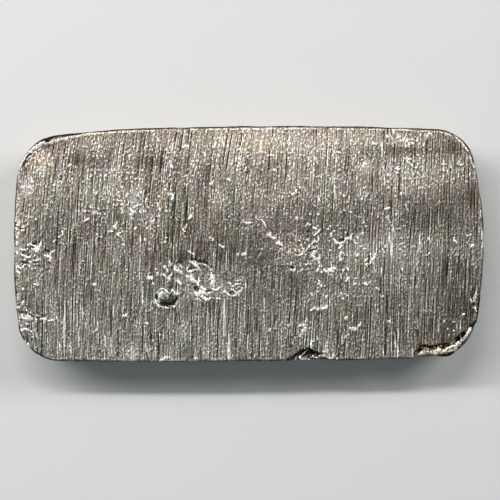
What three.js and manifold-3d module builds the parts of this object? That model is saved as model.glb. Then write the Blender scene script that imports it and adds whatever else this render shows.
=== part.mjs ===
// A hand-poured silver bar, cast in an open mould and filed flat on its poured face.
// It lies on its mould face with the poured face up. X runs along the bar, Y across it
// and Z up; the origin is the middle of the underside. Lengths are in millimetres.

import * as THREE from 'three';
import { mergeVertices } from 'three/addons/utils/BufferGeometryUtils.js';
import Module from 'manifold-3d';

const wasm = await Module();
wasm.setup();

// ---- Overall sizes ----------------------------------------------------------

const length = 80;
const width = 40;
const thickness = 10.2;
const draftDegrees = 8;    // lean of the walls, so that the bar leaves its mould
const rimRadius = 0.5;     // round between the walls and the filed face
const footRadius = 2.2;    // round between the walls and the underside

// ---- Outline at the rim -----------------------------------------------------

// Each side swells outwards by its bow over the side's whole length. The apex is where
// along the side it stands out furthest, measured from the middle of the bar.
const rightSide = { bow: 2.85, apex: -0.4 };
const backSide = { bow: 1.1, apex: 6.8 };
const leftSide = { bow: 1.5, apex: -0.1 };
const frontSide = { bow: 0.45, apex: -14 };

const backRightRadius = 7.5;
const backLeftRadius = 8.3;
const frontLeftRadius = 6.9;
const frontRightRadius = 7.2;

// ---- Marks of the pour ------------------------------------------------------

// Marks on the rim keep their place at the bar's corner or side when its size changes.
// They are drawn from the corner of the bar's overall rectangle, on the sides given.
function fromCorner(sideX, sideY, points) {
  return points.map(([x, y]) => [sideX * length / 2 + x, sideY * width / 2 + y]);
}

function fromFront(points) {
  return points.map(([x, y]) => [x, y - width / 2]);
}

// At the left end the file stopped short, and the rim still rolls off.
const rollOffWidth = 2.6;
const rollOffDrop = 0.35;

// The cold lap: a tongue of metal that froze against the front right corner before the
// rest of the pour reached it. It lies below the face, between a crack and the rim.
const lapCrackLine = fromCorner(1, -1, [
  [-11.9, 1], [-11.3, 2.1], [-10.5, 2.65], [-9, 2.55], [-7.2, 2.95], [-5.8, 3.3],
  [-4.7, 4.1], [-3.6, 5], [-2.7, 5.8], [-1.3, 6.6],
]);
const lapOuterLine = fromCorner(1, -1, [
  [-11.9, 0.8], [-10.8, 1], [-9.3, 1.05], [-7.7, 0.85], [-6.1, 0.85], [-4.9, 1.5],
  [-3.8, 2.5], [-2.8, 3.8], [-2, 5.2], [-1.2, 6.7],
]);
const lapCrack = 0.35;
const lapDrop = 0.4;
const lapDepth = 1.7;

// Basins sunk into the filed face. The mouth goes anticlockwise round the middle, and the
// floor has the mouth's outline at a share of its size.
const hollow = {
  middle: [-7.6, -6.2],
  mouth: [
    [-1.2, -7.2], [-3, -6.4], [-5.2, -5.8], [-5.9, -4.6], [-6.8, -3.5], [-8.8, -2.9], [-10.8, -2.8],
    [-12.7, -3.4], [-13.4, -4.6], [-12.6, -6.2], [-11.4, -7.6], [-9.9, -8.9], [-8.2, -9.7],
    [-6.2, -9.2], [-4.4, -8.3], [-2.6, -8.9], [-1.3, -8.3],
  ],
  depth: 0.34,
  floor: 0.72,
};
const pit = {
  middle: [-14.1, -9.1],
  mouth: [
    [-12.1, -9.3], [-12.6, -8.5], [-13.6, -8.1], [-14.3, -7.5], [-15.3, -7.4], [-15.9, -8.2],
    [-16, -9.3], [-15.4, -10.3], [-14, -10.7], [-12.7, -10.5],
  ],
  depth: 0.95,
  floor: 0.6,
};
const slot = {
  middle: [-13, -5.8],
  mouth: [[-12.8, -4.4], [-13.3, -4.6], [-13.4, -6.4], [-13.1, -7.6], [-12.8, -6]],
  depth: 0.4,
  floor: 0.3,
};

// Lumps left standing in them: top is how far the crown lies below the filed face.
const frozenTongue = { x: -8.2, y: -4.9, long: 3.8, wide: 2.2, top: 0.06, height: 1 };
const leftLump = { x: -9.4, y: -6.2, long: 1.5, wide: 1.3, top: 0.02, height: 1 };
const rightLump = { x: -6.2, y: -6.2, long: 0.9, wide: 1.6, top: 0.02, height: 1 };
const largeLump = { x: -8.1, y: -8.5, long: 2.8, wide: 1.5, top: 0.01, height: 1 };
const pitKnob = { x: -14.5, y: -8.8, long: 2, wide: 2, top: 0.22, height: 1.4 };

// A bite out of the front rim, with a ragged lip of metal left standing in it.
const bite = {
  middle: fromFront([[10.2, -0.6]])[0],
  mouth: fromFront([
    [13.6, -0.3], [13, 0.8], [12.1, 1.4], [11, 1.8], [10.1, 2.4], [9.3, 1.9],
    [8.2, 1.3], [7.1, 0.4], [6.9, -0.3], [10.2, -1.2],
  ]),
  depth: 1.3,
  floor: 0.6,
};
const biteLipLine = fromFront([
  [8.5, 0.4], [9.5, 0.65], [10.4, 0.5], [11.3, 0.85], [12, 0.65], [13.1, 0.8],
]);
const biteLipWidth = 0.3;
const biteLipDrop = 0.2;

// A chip knocked out of the rim at the back left corner.
const chip = {
  middle: fromCorner(-1, 1, [[5.6, -1.4]])[0],
  mouth: fromCorner(-1, 1, [[6.5, -1.7], [6.4, -1.1], [4.8, -1.5], [5.1, -2.1], [5.7, -2.5]]),
  depth: 0.6,
  floor: 0.5,
};

// ---- Fineness of the facets -------------------------------------------------

const longSideSteps = 24;
const shortSideSteps = 12;
const cornerSteps = 14;
const roundDivisions = 3;
const basinSteps = 48;
const basinLevels = 4;
const lumpSteps = 18;
const lapSteps = 26;
const lipSteps = 12;
const beadSteps = 12;
const rollOffSteps = 6;

// ---- Solids and meshes ------------------------------------------------------

const degrees = THREE.MathUtils.degToRad;
const overshoot = 2;     // how far a cutter reaches past the metal it cuts
const boxiness = 0.6;    // roundness of a bead's section: 1 is an oval and 0 a box

function solid(geometry) {
  const bare = geometry.clone();
  bare.deleteAttribute('normal');
  bare.deleteAttribute('uv');
  const merged = mergeVertices(bare);
  return new wasm.Manifold(new wasm.Mesh({
    numProp: 3,
    vertProperties: Float32Array.from(merged.attributes.position.array),
    triVerts: Uint32Array.from(merged.index.array),
  }));
}

function geometryOf(manifold) {
  const mesh = manifold.getMesh();
  const geometry = new THREE.BufferGeometry();
  geometry.setAttribute('position', new THREE.BufferAttribute(mesh.vertProperties, 3));
  geometry.setIndex(new THREE.BufferAttribute(mesh.triVerts, 1));
  geometry.computeVertexNormals();
  return geometry;
}

// Joins closed rings of equal length into one skin, and closes both ends.
function loft(rings) {
  const count = rings[0].length;
  const last = (rings.length - 1) * count;
  const index = [];
  for (let level = 0; level < rings.length - 1; level += 1) {
    for (let i = 0; i < count; i += 1) {
      const a = level * count + i;
      const b = level * count + (i + 1) % count;
      index.push(a, b, b + count, a, b + count, a + count);
    }
  }
  for (let i = 1; i < count - 1; i += 1) {
    index.push(0, i + 1, i);
    index.push(last, last + i, last + i + 1);
  }
  const geometry = new THREE.BufferGeometry();
  geometry.setFromPoints(rings.flat());
  geometry.setIndex(index);
  return geometry;
}

// ---- Outline ----------------------------------------------------------------

// Each side is an arc of a large circle and each corner a fillet between two of them,
// so an inset only takes the same amount off every radius.
function sideCircle(side, outX, outY) {
  const half = (outX === 0 ? length : width) / 2;
  const reach = (outX === 0 ? width : length) / 2;
  const radius = (half ** 2 + side.bow ** 2) / (2 * side.bow);
  const centre = outX === 0
    ? new THREE.Vector2(side.apex, outY * (reach - radius))
    : new THREE.Vector2(outX * (reach - radius), side.apex);
  return { centre, radius };
}

function filletCentre(sideA, sideB, radius) {
  const reachA = sideA.radius - radius;
  const reachB = sideB.radius - radius;
  const line = sideB.centre.clone().sub(sideA.centre);
  const apart = line.length();
  const along = (reachA ** 2 - reachB ** 2 + apart ** 2) / (2 * apart);
  const off = Math.sqrt(reachA ** 2 - along ** 2);
  line.normalize();
  return new THREE.Vector2(
    sideA.centre.x + along * line.x - off * line.y,
    sideA.centre.y + along * line.y + off * line.x,
  );
}

const right = sideCircle(rightSide, 1, 0);
const back = sideCircle(backSide, 0, 1);
const left = sideCircle(leftSide, -1, 0);
const front = sideCircle(frontSide, 0, -1);

const backRight = { centre: filletCentre(right, back, backRightRadius), radius: backRightRadius };
const backLeft = { centre: filletCentre(back, left, backLeftRadius), radius: backLeftRadius };
const frontLeft = { centre: filletCentre(left, front, frontLeftRadius), radius: frontLeftRadius };
const frontRight = { centre: filletCentre(front, right, frontRightRadius), radius: frontRightRadius };

// A corner touches a side on the line through their two centres.
function touchAngle(side, corner) {
  return Math.atan2(corner.centre.y - side.centre.y, corner.centre.x - side.centre.x);
}

function arc(circle, from, to, steps) {
  const sweep = THREE.MathUtils.euclideanModulo(to - from, 2 * Math.PI);
  return Array.from({ length: steps }, (_, i) => ({ circle, angle: from + sweep * i / steps }));
}

// A side is split where it stands out furthest, so that the bar has its stated size.
function sideArcs(side, before, outwards, after, steps) {
  return [
    ...arc(side, touchAngle(side, before), degrees(outwards), steps / 2),
    ...arc(side, degrees(outwards), touchAngle(side, after), steps / 2),
  ];
}

const outline = [
  ...sideArcs(right, frontRight, 0, backRight, shortSideSteps),
  ...arc(backRight, touchAngle(right, backRight), touchAngle(back, backRight), cornerSteps),
  ...sideArcs(back, backRight, 90, backLeft, longSideSteps),
  ...arc(backLeft, touchAngle(back, backLeft), touchAngle(left, backLeft), cornerSteps),
  ...sideArcs(left, backLeft, 180, frontLeft, shortSideSteps),
  ...arc(frontLeft, touchAngle(left, frontLeft), touchAngle(front, frontLeft), cornerSteps),
  ...sideArcs(front, frontLeft, 270, frontRight, longSideSteps),
  ...arc(frontRight, touchAngle(front, frontRight), touchAngle(right, frontRight), cornerSteps),
];

function pointOn(circle, angle, inset, z) {
  return new THREE.Vector3(
    circle.centre.x + (circle.radius - inset) * Math.cos(angle),
    circle.centre.y + (circle.radius - inset) * Math.sin(angle),
    z,
  );
}

function ring(inset, z) {
  return outline.map(({ circle, angle }) => pointOn(circle, angle, inset, z));
}

// ---- Cast body --------------------------------------------------------------

// Half section through a wall: how far out from the rim line, and how high.
function wallProfile() {
  const lean = degrees(draftDegrees);
  const rimX = -rimRadius;
  const rimZ = thickness - rimRadius;
  const wallReach = rimX * Math.cos(lean) - rimZ * Math.sin(lean) + rimRadius;
  const footX = (wallReach - footRadius + footRadius * Math.sin(lean)) / Math.cos(lean);
  const path = new THREE.Path();
  path.absarc(footX, footRadius, footRadius, -Math.PI / 2, -lean);
  path.absarc(rimX, rimZ, rimRadius, -lean, Math.PI / 2);
  return path.getPoints(roundDivisions);
}

function castBody() {
  return solid(loft(wallProfile().map((point) => ring(-point.x, point.y))));
}

// ---- Roll-off at the left end -----------------------------------------------

// A long bar of metal to take away, whose underside is an arc that meets the face
// tangentially and has dropped by rollOffDrop at the end of the bar.
function rollOffCutter() {
  const edge = -length / 2;
  const radius = (rollOffWidth ** 2 + rollOffDrop ** 2) / (2 * rollOffDrop);
  const start = edge + rollOffWidth;
  const sweep = Math.asin((rollOffWidth + overshoot) / radius);
  const section = new THREE.Shape();
  section.moveTo(start, thickness + overshoot);
  section.absarc(start, thickness - radius, radius, Math.PI / 2, Math.PI / 2 + sweep);
  section.lineTo(edge - overshoot, thickness + overshoot);
  const bar = new THREE.ExtrudeGeometry(section, {
    depth: width + 2 * overshoot,
    bevelEnabled: false,
    curveSegments: rollOffSteps,
  });
  bar.rotateX(Math.PI / 2);
  bar.translate(0, width / 2 + overshoot, 0);
  return solid(bar);
}

// ---- Lines drawn by hand ----------------------------------------------------

function curve(points, closed) {
  return new THREE.CatmullRomCurve3(points.map(([x, y]) => new THREE.Vector3(x, y, 0)), closed);
}

function closedLine(points) {
  return curve(points, true).getSpacedPoints(basinSteps).slice(0, -1);
}

function openLine(points, steps) {
  return curve(points, false).getSpacedPoints(steps);
}

// ---- Basins and lumps -------------------------------------------------------

// Steep at the mouth and flat in the middle, like metal that shrank as it froze.
function basin({ middle, mouth, depth, floor }) {
  const centre = new THREE.Vector3(...middle, 0);
  const brink = closedLine(mouth);
  const ringAt = (size, z) => brink.map((point) => centre.clone().lerp(point, size).setZ(z));
  const bowl = Array.from({ length: basinLevels }, (_, i) => {
    const turn = Math.PI / 2 * i / (basinLevels - 1);
    return ringAt(THREE.MathUtils.lerp(floor, 1, Math.sin(turn)), thickness - depth * Math.cos(turn));
  });
  return solid(loft([...bowl, ringAt(1, thickness + overshoot)]));
}

function lump({ x, y, long, wide, top, height }) {
  const crown = new THREE.SphereGeometry(1, lumpSteps, lumpSteps / 2);
  crown.rotateX(Math.PI / 2);
  crown.scale(long / 2, wide / 2, height);
  crown.translate(x, y, thickness - top - height);
  return solid(crown);
}

// A bead between two lines, with a section like a rounded box from z low to z high.

function bead(outer, inner, low, high) {
  const rounded = (value) => Math.sign(value) * Math.abs(value) ** boxiness;
  const rings = outer.map((start, i) => Array.from({ length: beadSteps }, (_, n) => {
    const turn = 2 * Math.PI * n / beadSteps;
    const across = (1 - rounded(Math.cos(turn))) / 2;
    const up = (1 - rounded(Math.sin(turn))) / 2;
    return start.clone().lerp(inner[i], across).setZ(THREE.MathUtils.lerp(low, high, up));
  }));
  return solid(loft(rings));
}

// ---- Cold lap ---------------------------------------------------------------

function lapTrench() {
  const crack = openLine(lapCrackLine, lapSteps);
  const clear = length / 2 + overshoot;
  const section = new THREE.Shape([
    ...crack,
    new THREE.Vector2(clear, crack.at(-1).y),
    new THREE.Vector2(clear, -clear),
    new THREE.Vector2(crack[0].x, -clear),
  ]);
  const trench = new THREE.ExtrudeGeometry(section, { depth: lapDepth + overshoot, bevelEnabled: false });
  trench.translate(0, 0, thickness - lapDepth);
  return solid(trench);
}

// The tongue fills the trench but for the crack, and is rooted in the wall below it.
function lapTongue() {
  const crack = openLine(lapCrackLine, lapSteps);
  const outer = openLine(lapOuterLine, lapSteps);
  const inner = crack.map((point, i) => {
    const inwards = outer[i].clone().sub(point);
    const gap = Math.min(lapCrack, inwards.length() / 2);
    return point.clone().add(inwards.setLength(gap));
  });
  const root = thickness - lapDepth - overshoot;
  return bead(outer.slice(1, -1), inner.slice(1, -1), root, thickness - lapDrop);
}

// ---- Lip of the bite --------------------------------------------------------

function biteLip() {
  const inner = openLine(biteLipLine, lipSteps);
  const outer = inner.map((point) => point.clone().setY(point.y - biteLipWidth));
  return bead(outer, inner, thickness - bite.depth - biteLipWidth, thickness - biteLipDrop);
}

// ---- The bar ----------------------------------------------------------------

const cutters = [
  rollOffCutter(),
  ...[hollow, pit, slot, bite, chip].map(basin),
  lapTrench(),
];
const lumps = [
  ...[frozenTongue, leftLump, rightLump, largeLump, pitKnob].map(lump),
  lapTongue(),
  biteLip(),
];

const carved = cutters.reduce((metal, cutter) => metal.subtract(cutter), castBody());
const finished = lumps.reduce((metal, extra) => metal.add(extra), carved);

const tarnishedSilver = new THREE.MeshStandardMaterial({
  color: 0x8b867d,
  roughness: 0.45,
  metalness: 0.9,
});

const ingot = new THREE.Mesh(geometryOf(finished), tarnishedSilver);
ingot.name = 'ingot';

const group = new THREE.Group();
group.add(ingot);

export default group;
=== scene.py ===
"""A hand-poured silver bar, filed flat on its poured face, on a pale floor under soft studio light.

The bar starts from the CAD solid. It gets a fine skin, the relief that the file and the mould left in it,
and a tarnished finish with painted shade, painted highlights and painted glints in its colour. Lengths in
the settings are metres, and the patterns are written in millimetres.
"""

import math

import bpy
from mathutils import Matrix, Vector
from mathutils.kdtree import KDTree


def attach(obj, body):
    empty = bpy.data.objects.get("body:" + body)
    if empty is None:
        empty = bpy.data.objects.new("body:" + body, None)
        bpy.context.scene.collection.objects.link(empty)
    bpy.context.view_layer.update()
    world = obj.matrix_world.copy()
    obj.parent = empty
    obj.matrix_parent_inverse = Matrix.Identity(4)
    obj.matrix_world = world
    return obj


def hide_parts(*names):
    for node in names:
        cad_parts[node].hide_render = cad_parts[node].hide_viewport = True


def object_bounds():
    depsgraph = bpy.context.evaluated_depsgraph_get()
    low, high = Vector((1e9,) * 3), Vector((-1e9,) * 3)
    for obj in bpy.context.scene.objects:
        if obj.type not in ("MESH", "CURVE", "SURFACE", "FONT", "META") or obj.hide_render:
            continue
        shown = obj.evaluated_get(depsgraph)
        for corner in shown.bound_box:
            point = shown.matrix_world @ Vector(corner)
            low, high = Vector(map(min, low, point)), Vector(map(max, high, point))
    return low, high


bl_info = {
    "name": "Poured Silver Ingot",
    "version": (1, 0, 0),
    "blender": (4, 5, 0),
    "location": "View3D > Sidebar > Ingot",
    "description": "Files, tarnishes and lights a hand-poured silver bar",
    "category": "Object",
}

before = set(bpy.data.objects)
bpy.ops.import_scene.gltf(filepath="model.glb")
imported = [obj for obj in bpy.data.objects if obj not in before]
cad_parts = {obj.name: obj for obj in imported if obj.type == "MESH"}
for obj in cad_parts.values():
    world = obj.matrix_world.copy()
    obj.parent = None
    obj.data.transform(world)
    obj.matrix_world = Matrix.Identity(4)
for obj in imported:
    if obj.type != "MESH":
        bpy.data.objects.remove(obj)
CAD_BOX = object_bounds()
NODE = "ingot"
MM = 0.001
FACE_HEIGHT = CAD_BOX[1].z

# The bar is stretched like this while its cells are made, so that they end up narrow along X.
CELL_STRETCH = Vector((2, 1, 1.4))
# Cells this near to a drawn mark are halved, unless their normal's Z is below the second number.
REFINED_MARGIN = 0.35 * MM
STEEPEST_REFINED = 0.3
# How finely the marks are measured, in millimetres: to halve cells, and to shape the relief.
MARK_STEP = 0.2
GUIDE_STEP = 0.12
# Triangles of the whole finished skin, and of its part below the wall's top.
MOST_TRIANGLES = 198000
WALL_TRIANGLES = 26000
WALL_TOP = FACE_HEIGHT - 1.2 * MM

# The stage, in metres. The strip lamp lies along X, and its reach is its distance from the X axis.
FLOOR_SIZE = 3
STRIP_SIZE = (0.82, 0.03)
STRIP_REACH = 0.45
STRIP_MIDDLE = -0.37
END_LAMP_SIZE = (0.3, 0.12)
END_LAMP_PLACE = (0.45, 0.27, 0.49)
# Strength of the hood at the horizon, as the metal reflects it and as the camera sees it.
HORIZON_LIGHT = 0.35
BACKDROP_LIGHT = 0.9
# The camera's lens in millimetres, and the point that it looks at.
LENS = 200
AIM = Vector((0.17 * MM, -1.02 * MM, FACE_HEIGHT))


# ---- Settings ---------------------------------------------------------------


def distance(name, description, millimetres):
    return bpy.props.FloatProperty(
        name=name, description=description, default=millimetres * MM, subtype="DISTANCE", unit="LENGTH"
    )


def colour(name, description, shade):
    return bpy.props.FloatVectorProperty(name=name, description=description, default=shade, subtype="COLOR")


def power(name, description, watts):
    return bpy.props.FloatProperty(name=name, description=description, default=watts, unit="POWER")


class IngotSettings(bpy.types.PropertyGroup):
    """Sizes and colours of the bar's surface."""

    skin_pitch: distance("Skin pitch", "Width of the skin's cells along the bar", 0.14)
    furrow_depth: distance("Furrow depth", "Depth of the ordinary file furrows", 0.07)
    cut_depth: distance("Cut depth", "Depth of the dark cuts that the file's worst teeth left", 0.22)
    burr_height: distance("Burr height", "Height of the torn flecks between the furrows", 0.05)
    tear_height: distance("Tear height", "Height of the torn metal above the filed face", 0.15)
    raw_depth: distance("Raw metal depth", "Relief of the metal that the file didn't reach", 0.12)
    skin_ripple: distance("Mould skin ripple", "Relief of the walls and underside, against the mould", 0.15)
    torn_silver: colour("Torn silver", "Freshly torn metal", (0.88, 0.838, 0.76))
    rubbed_silver: colour("Rubbed silver", "Ridges that hands and cloths keep bright", (0.53, 0.486, 0.415))
    dull_silver: colour("Dull silver", "The filed face at its usual grey", (0.237, 0.214, 0.177))
    # The two darkest shades are also the colour of the painted shade in furrows, cuts, hollows and on the
    # rim's edge.
    tarnish: colour("Tarnish", "Brown tarnish in the furrows", (0.083, 0.07, 0.0525))
    sulphide: colour("Sulphide", "Black sulphide at the bottom of cuts and pits", (0.0155, 0.013, 0.0095))
    gold_tint: colour("Gold tint", "Colour that thin tarnish gives to sheltered metal", (1.0, 0.85, 0.62))


class StageSettings(bpy.types.PropertyGroup):
    """The floor, the lamps and the camera."""

    floor_colour: colour("Floor colour", "Pale grey paper under the bar", (0.758, 0.738, 0.722))
    lamp_power: power("Lamp power", "Power of the strip lamp behind the bar, in watts", 2.37)
    left_power: power("Left lamp power", "Power of the soft lamp at the left end, in watts", 0.8)
    right_power: power("Right lamp power", "Power of the soft lamp at the right end, in watts", 1.75)
    lamp_lean: bpy.props.FloatProperty(
        name="Lamp lean",
        description="How far the strip lamp stands from straight overhead",
        default=math.radians(29),
        subtype="ANGLE",
    )
    hood_light: bpy.props.FloatProperty(
        name="Hood light",
        description="Strength of the pale hood overhead, as the metal reflects it",
        default=0.8,
    )
    fill_light: bpy.props.FloatProperty(
        name="Fill light",
        description="Strength of the hood as light on the floor",
        default=0.175,
    )
    frame_width: distance("Frame width", "Width of the picture at the filed face", 85.1)


# ---- Marks that only this bar has -------------------------------------------
# A mark is a path over the filed face. Each of its points is an x, a y and a half width, in millimetres.

LEFT_END_TEARS = (
    ((-39.1, 12.6, 0.1), (-38.8, 13.8, 0.16), (-38.1, 14.9, 0.16), (-37.2, 15.8, 0.16)),
    ((-37.0, 15.95, 0.18), (-36.0, 16.65, 0.24), (-35.2, 17.2, 0.22), (-34.6, 17.1, 0.14)),
    ((-34.0, 17.2, 0.16), (-33.3, 17.55, 0.26), (-32.5, 17.85, 0.24)),
    ((-31.9, 18.1, 0.2), (-31.2, 18.2, 0.24), (-30.8, 17.9, 0.14)),
    ((-30.3, 18.35, 0.18), (-29.6, 18.45, 0.22), (-28.8, 18.5, 0.18)),
    ((-27.9, 18.6, 0.16), (-27.1, 18.65, 0.18)),
    ((-39.58, 4.1, 0.08), (-39.55, 3.75, 0.08)),
    ((-39.1, 3.6, 0.12), (-39.2, 3.25, 0.24), (-39.45, 3.2, 0.14)),
    ((-38.5, 2.8, 0.12), (-38.05, 3.05, 0.12), (-37.7, 3.35, 0.12)),
    ((-38.7, 2.25, 0.09), (-38.3, 2.3, 0.09)),
    ((-39.6, 2.75, 0.08), (-39.5, 2.45, 0.1), (-39.55, 2.1, 0.08)),
    ((-39.55, 1.2, 0.1), (-39.4, 1.0, 0.14)),
    ((-39.55, 0.1, 0.14), (-39.5, -0.2, 0.12)),
    ((-37.6, -0.15, 0.1), (-37.35, 0.0, 0.1), (-37.0, -0.2, 0.1), (-36.6, -0.3, 0.08), (-36.25, -0.5, 0.1)),
    ((-35.4, -0.1, 0.1), (-35.7, -0.5, 0.2), (-36.0, -0.8, 0.3), (-36.6, -0.95, 0.2)),
    ((-36.2, -1.3, 0.2), (-35.75, -0.95, 0.24)),
    ((-36.4, -1.9, 0.12), (-36.6, -2.15, 0.1)),
    ((-38.6, -1.1, 0.12), (-38.35, -0.95, 0.1), (-38.0, -1.0, 0.1)),
    (
        (-38.75, -1.75, 0.1), (-38.5, -1.95, 0.12), (-38.1, -2.1, 0.1), (-37.65, -2.3, 0.16),
        (-37.25, -2.2, 0.16), (-37.1, -2.05, 0.1),
    ),
    ((-38.0, -2.4, 0.12), (-38.2, -2.75, 0.12)),
    ((-36.7, -2.85, 0.08), (-36.25, -2.8, 0.1), (-35.8, -2.6, 0.12), (-35.65, -2.65, 0.08)),
    ((-37.4, -2.95, 0.08), (-37.15, -3.1, 0.12), (-36.95, -3.0, 0.08)),
    (
        (-39.55, -4.3, 0.08), (-39.5, -3.95, 0.1), (-39.2, -3.8, 0.14), (-38.9, -4.15, 0.1),
        (-38.7, -4.2, 0.1), (-38.35, -3.85, 0.1), (-38.2, -3.55, 0.1), (-37.85, -3.55, 0.08),
    ),
    ((-37.45, -3.65, 0.1), (-37.25, -3.85, 0.1)),
    ((-36.95, -4.2, 0.1), (-36.85, -4.45, 0.1)),
    ((-34.8, -1.95, 0.12), (-34.3, -2.1, 0.18), (-33.9, -2.1, 0.14)),
    ((-33.85, -2.15, 0.14), (-33.8, -2.5, 0.14), (-33.9, -2.8, 0.18)),
    ((-33.8, -1.8, 0.12), (-33.75, -1.4, 0.1), (-33.5, -1.45, 0.12), (-33.15, -1.15, 0.08)),
    ((-33.35, 0.35, 0.08), (-33.05, 0.6, 0.06)),
    ((-31.85, 1.5, 0.12), (-31.65, 1.85, 0.12), (-31.55, 2.15, 0.08)),
    ((-31.0, 0.1, 0.07), (-30.65, -0.15, 0.07)),
    ((-33.95, -4.6, 0.1), (-33.95, -4.85, 0.08)),
    ((-35.45, 2.5, 0.07), (-35.25, 2.95, 0.06)),
    ((-38.4, -7.8, 0.14), (-38.4, -7.5, 0.14)),
    ((-36.5, -6.8, 0.1), (-35.9, -7.1, 0.1)),
    ((-39.07, -12.6, 0.08), (-39.07, -13.05, 0.08)),
    (
        (-38.75, -12.55, 0.12), (-38.4, -12.6, 0.2), (-38.1, -12.8, 0.14), (-37.7, -12.6, 0.22),
        (-37.5, -12.5, 0.2), (-37.35, -12.8, 0.14), (-37.0, -12.75, 0.18),
    ),
    ((-37.65, -11.95, 0.1), (-37.6, -12.3, 0.14)),
    ((-36.15, -12.9, 0.16), (-36.15, -13.25, 0.1)),
    ((-35.4, -12.8, 0.12), (-34.95, -12.75, 0.22), (-34.6, -12.75, 0.14)),
    ((-34.85, -13.05, 0.24), (-34.85, -13.35, 0.14)),
    ((-34.25, -13.15, 0.12), (-33.8, -13.05, 0.12), (-33.4, -13.0, 0.1)),
    ((-32.8, -12.6, 0.16), (-32.8, -12.85, 0.12)),
    (
        (-38.75, -14.6, 0.12), (-38.5, -14.75, 0.16), (-38.1, -14.4, 0.12), (-37.65, -14.6, 0.12),
        (-37.45, -14.7, 0.08), (-37.0, -15.0, 0.06),
    ),
    ((-38.45, -10.25, 0.16), (-38.3, -9.65, 0.1)),
    ((-39.4, -11.0, 0.08), (-39.4, -10.2, 0.06)),
    (
        (-38.1, -16.5, 0.08), (-37.85, -16.9, 0.09), (-37.55, -17.35, 0.09), (-37.25, -17.75, 0.1),
        (-37.0, -18.1, 0.08),
    ),
)
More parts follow.
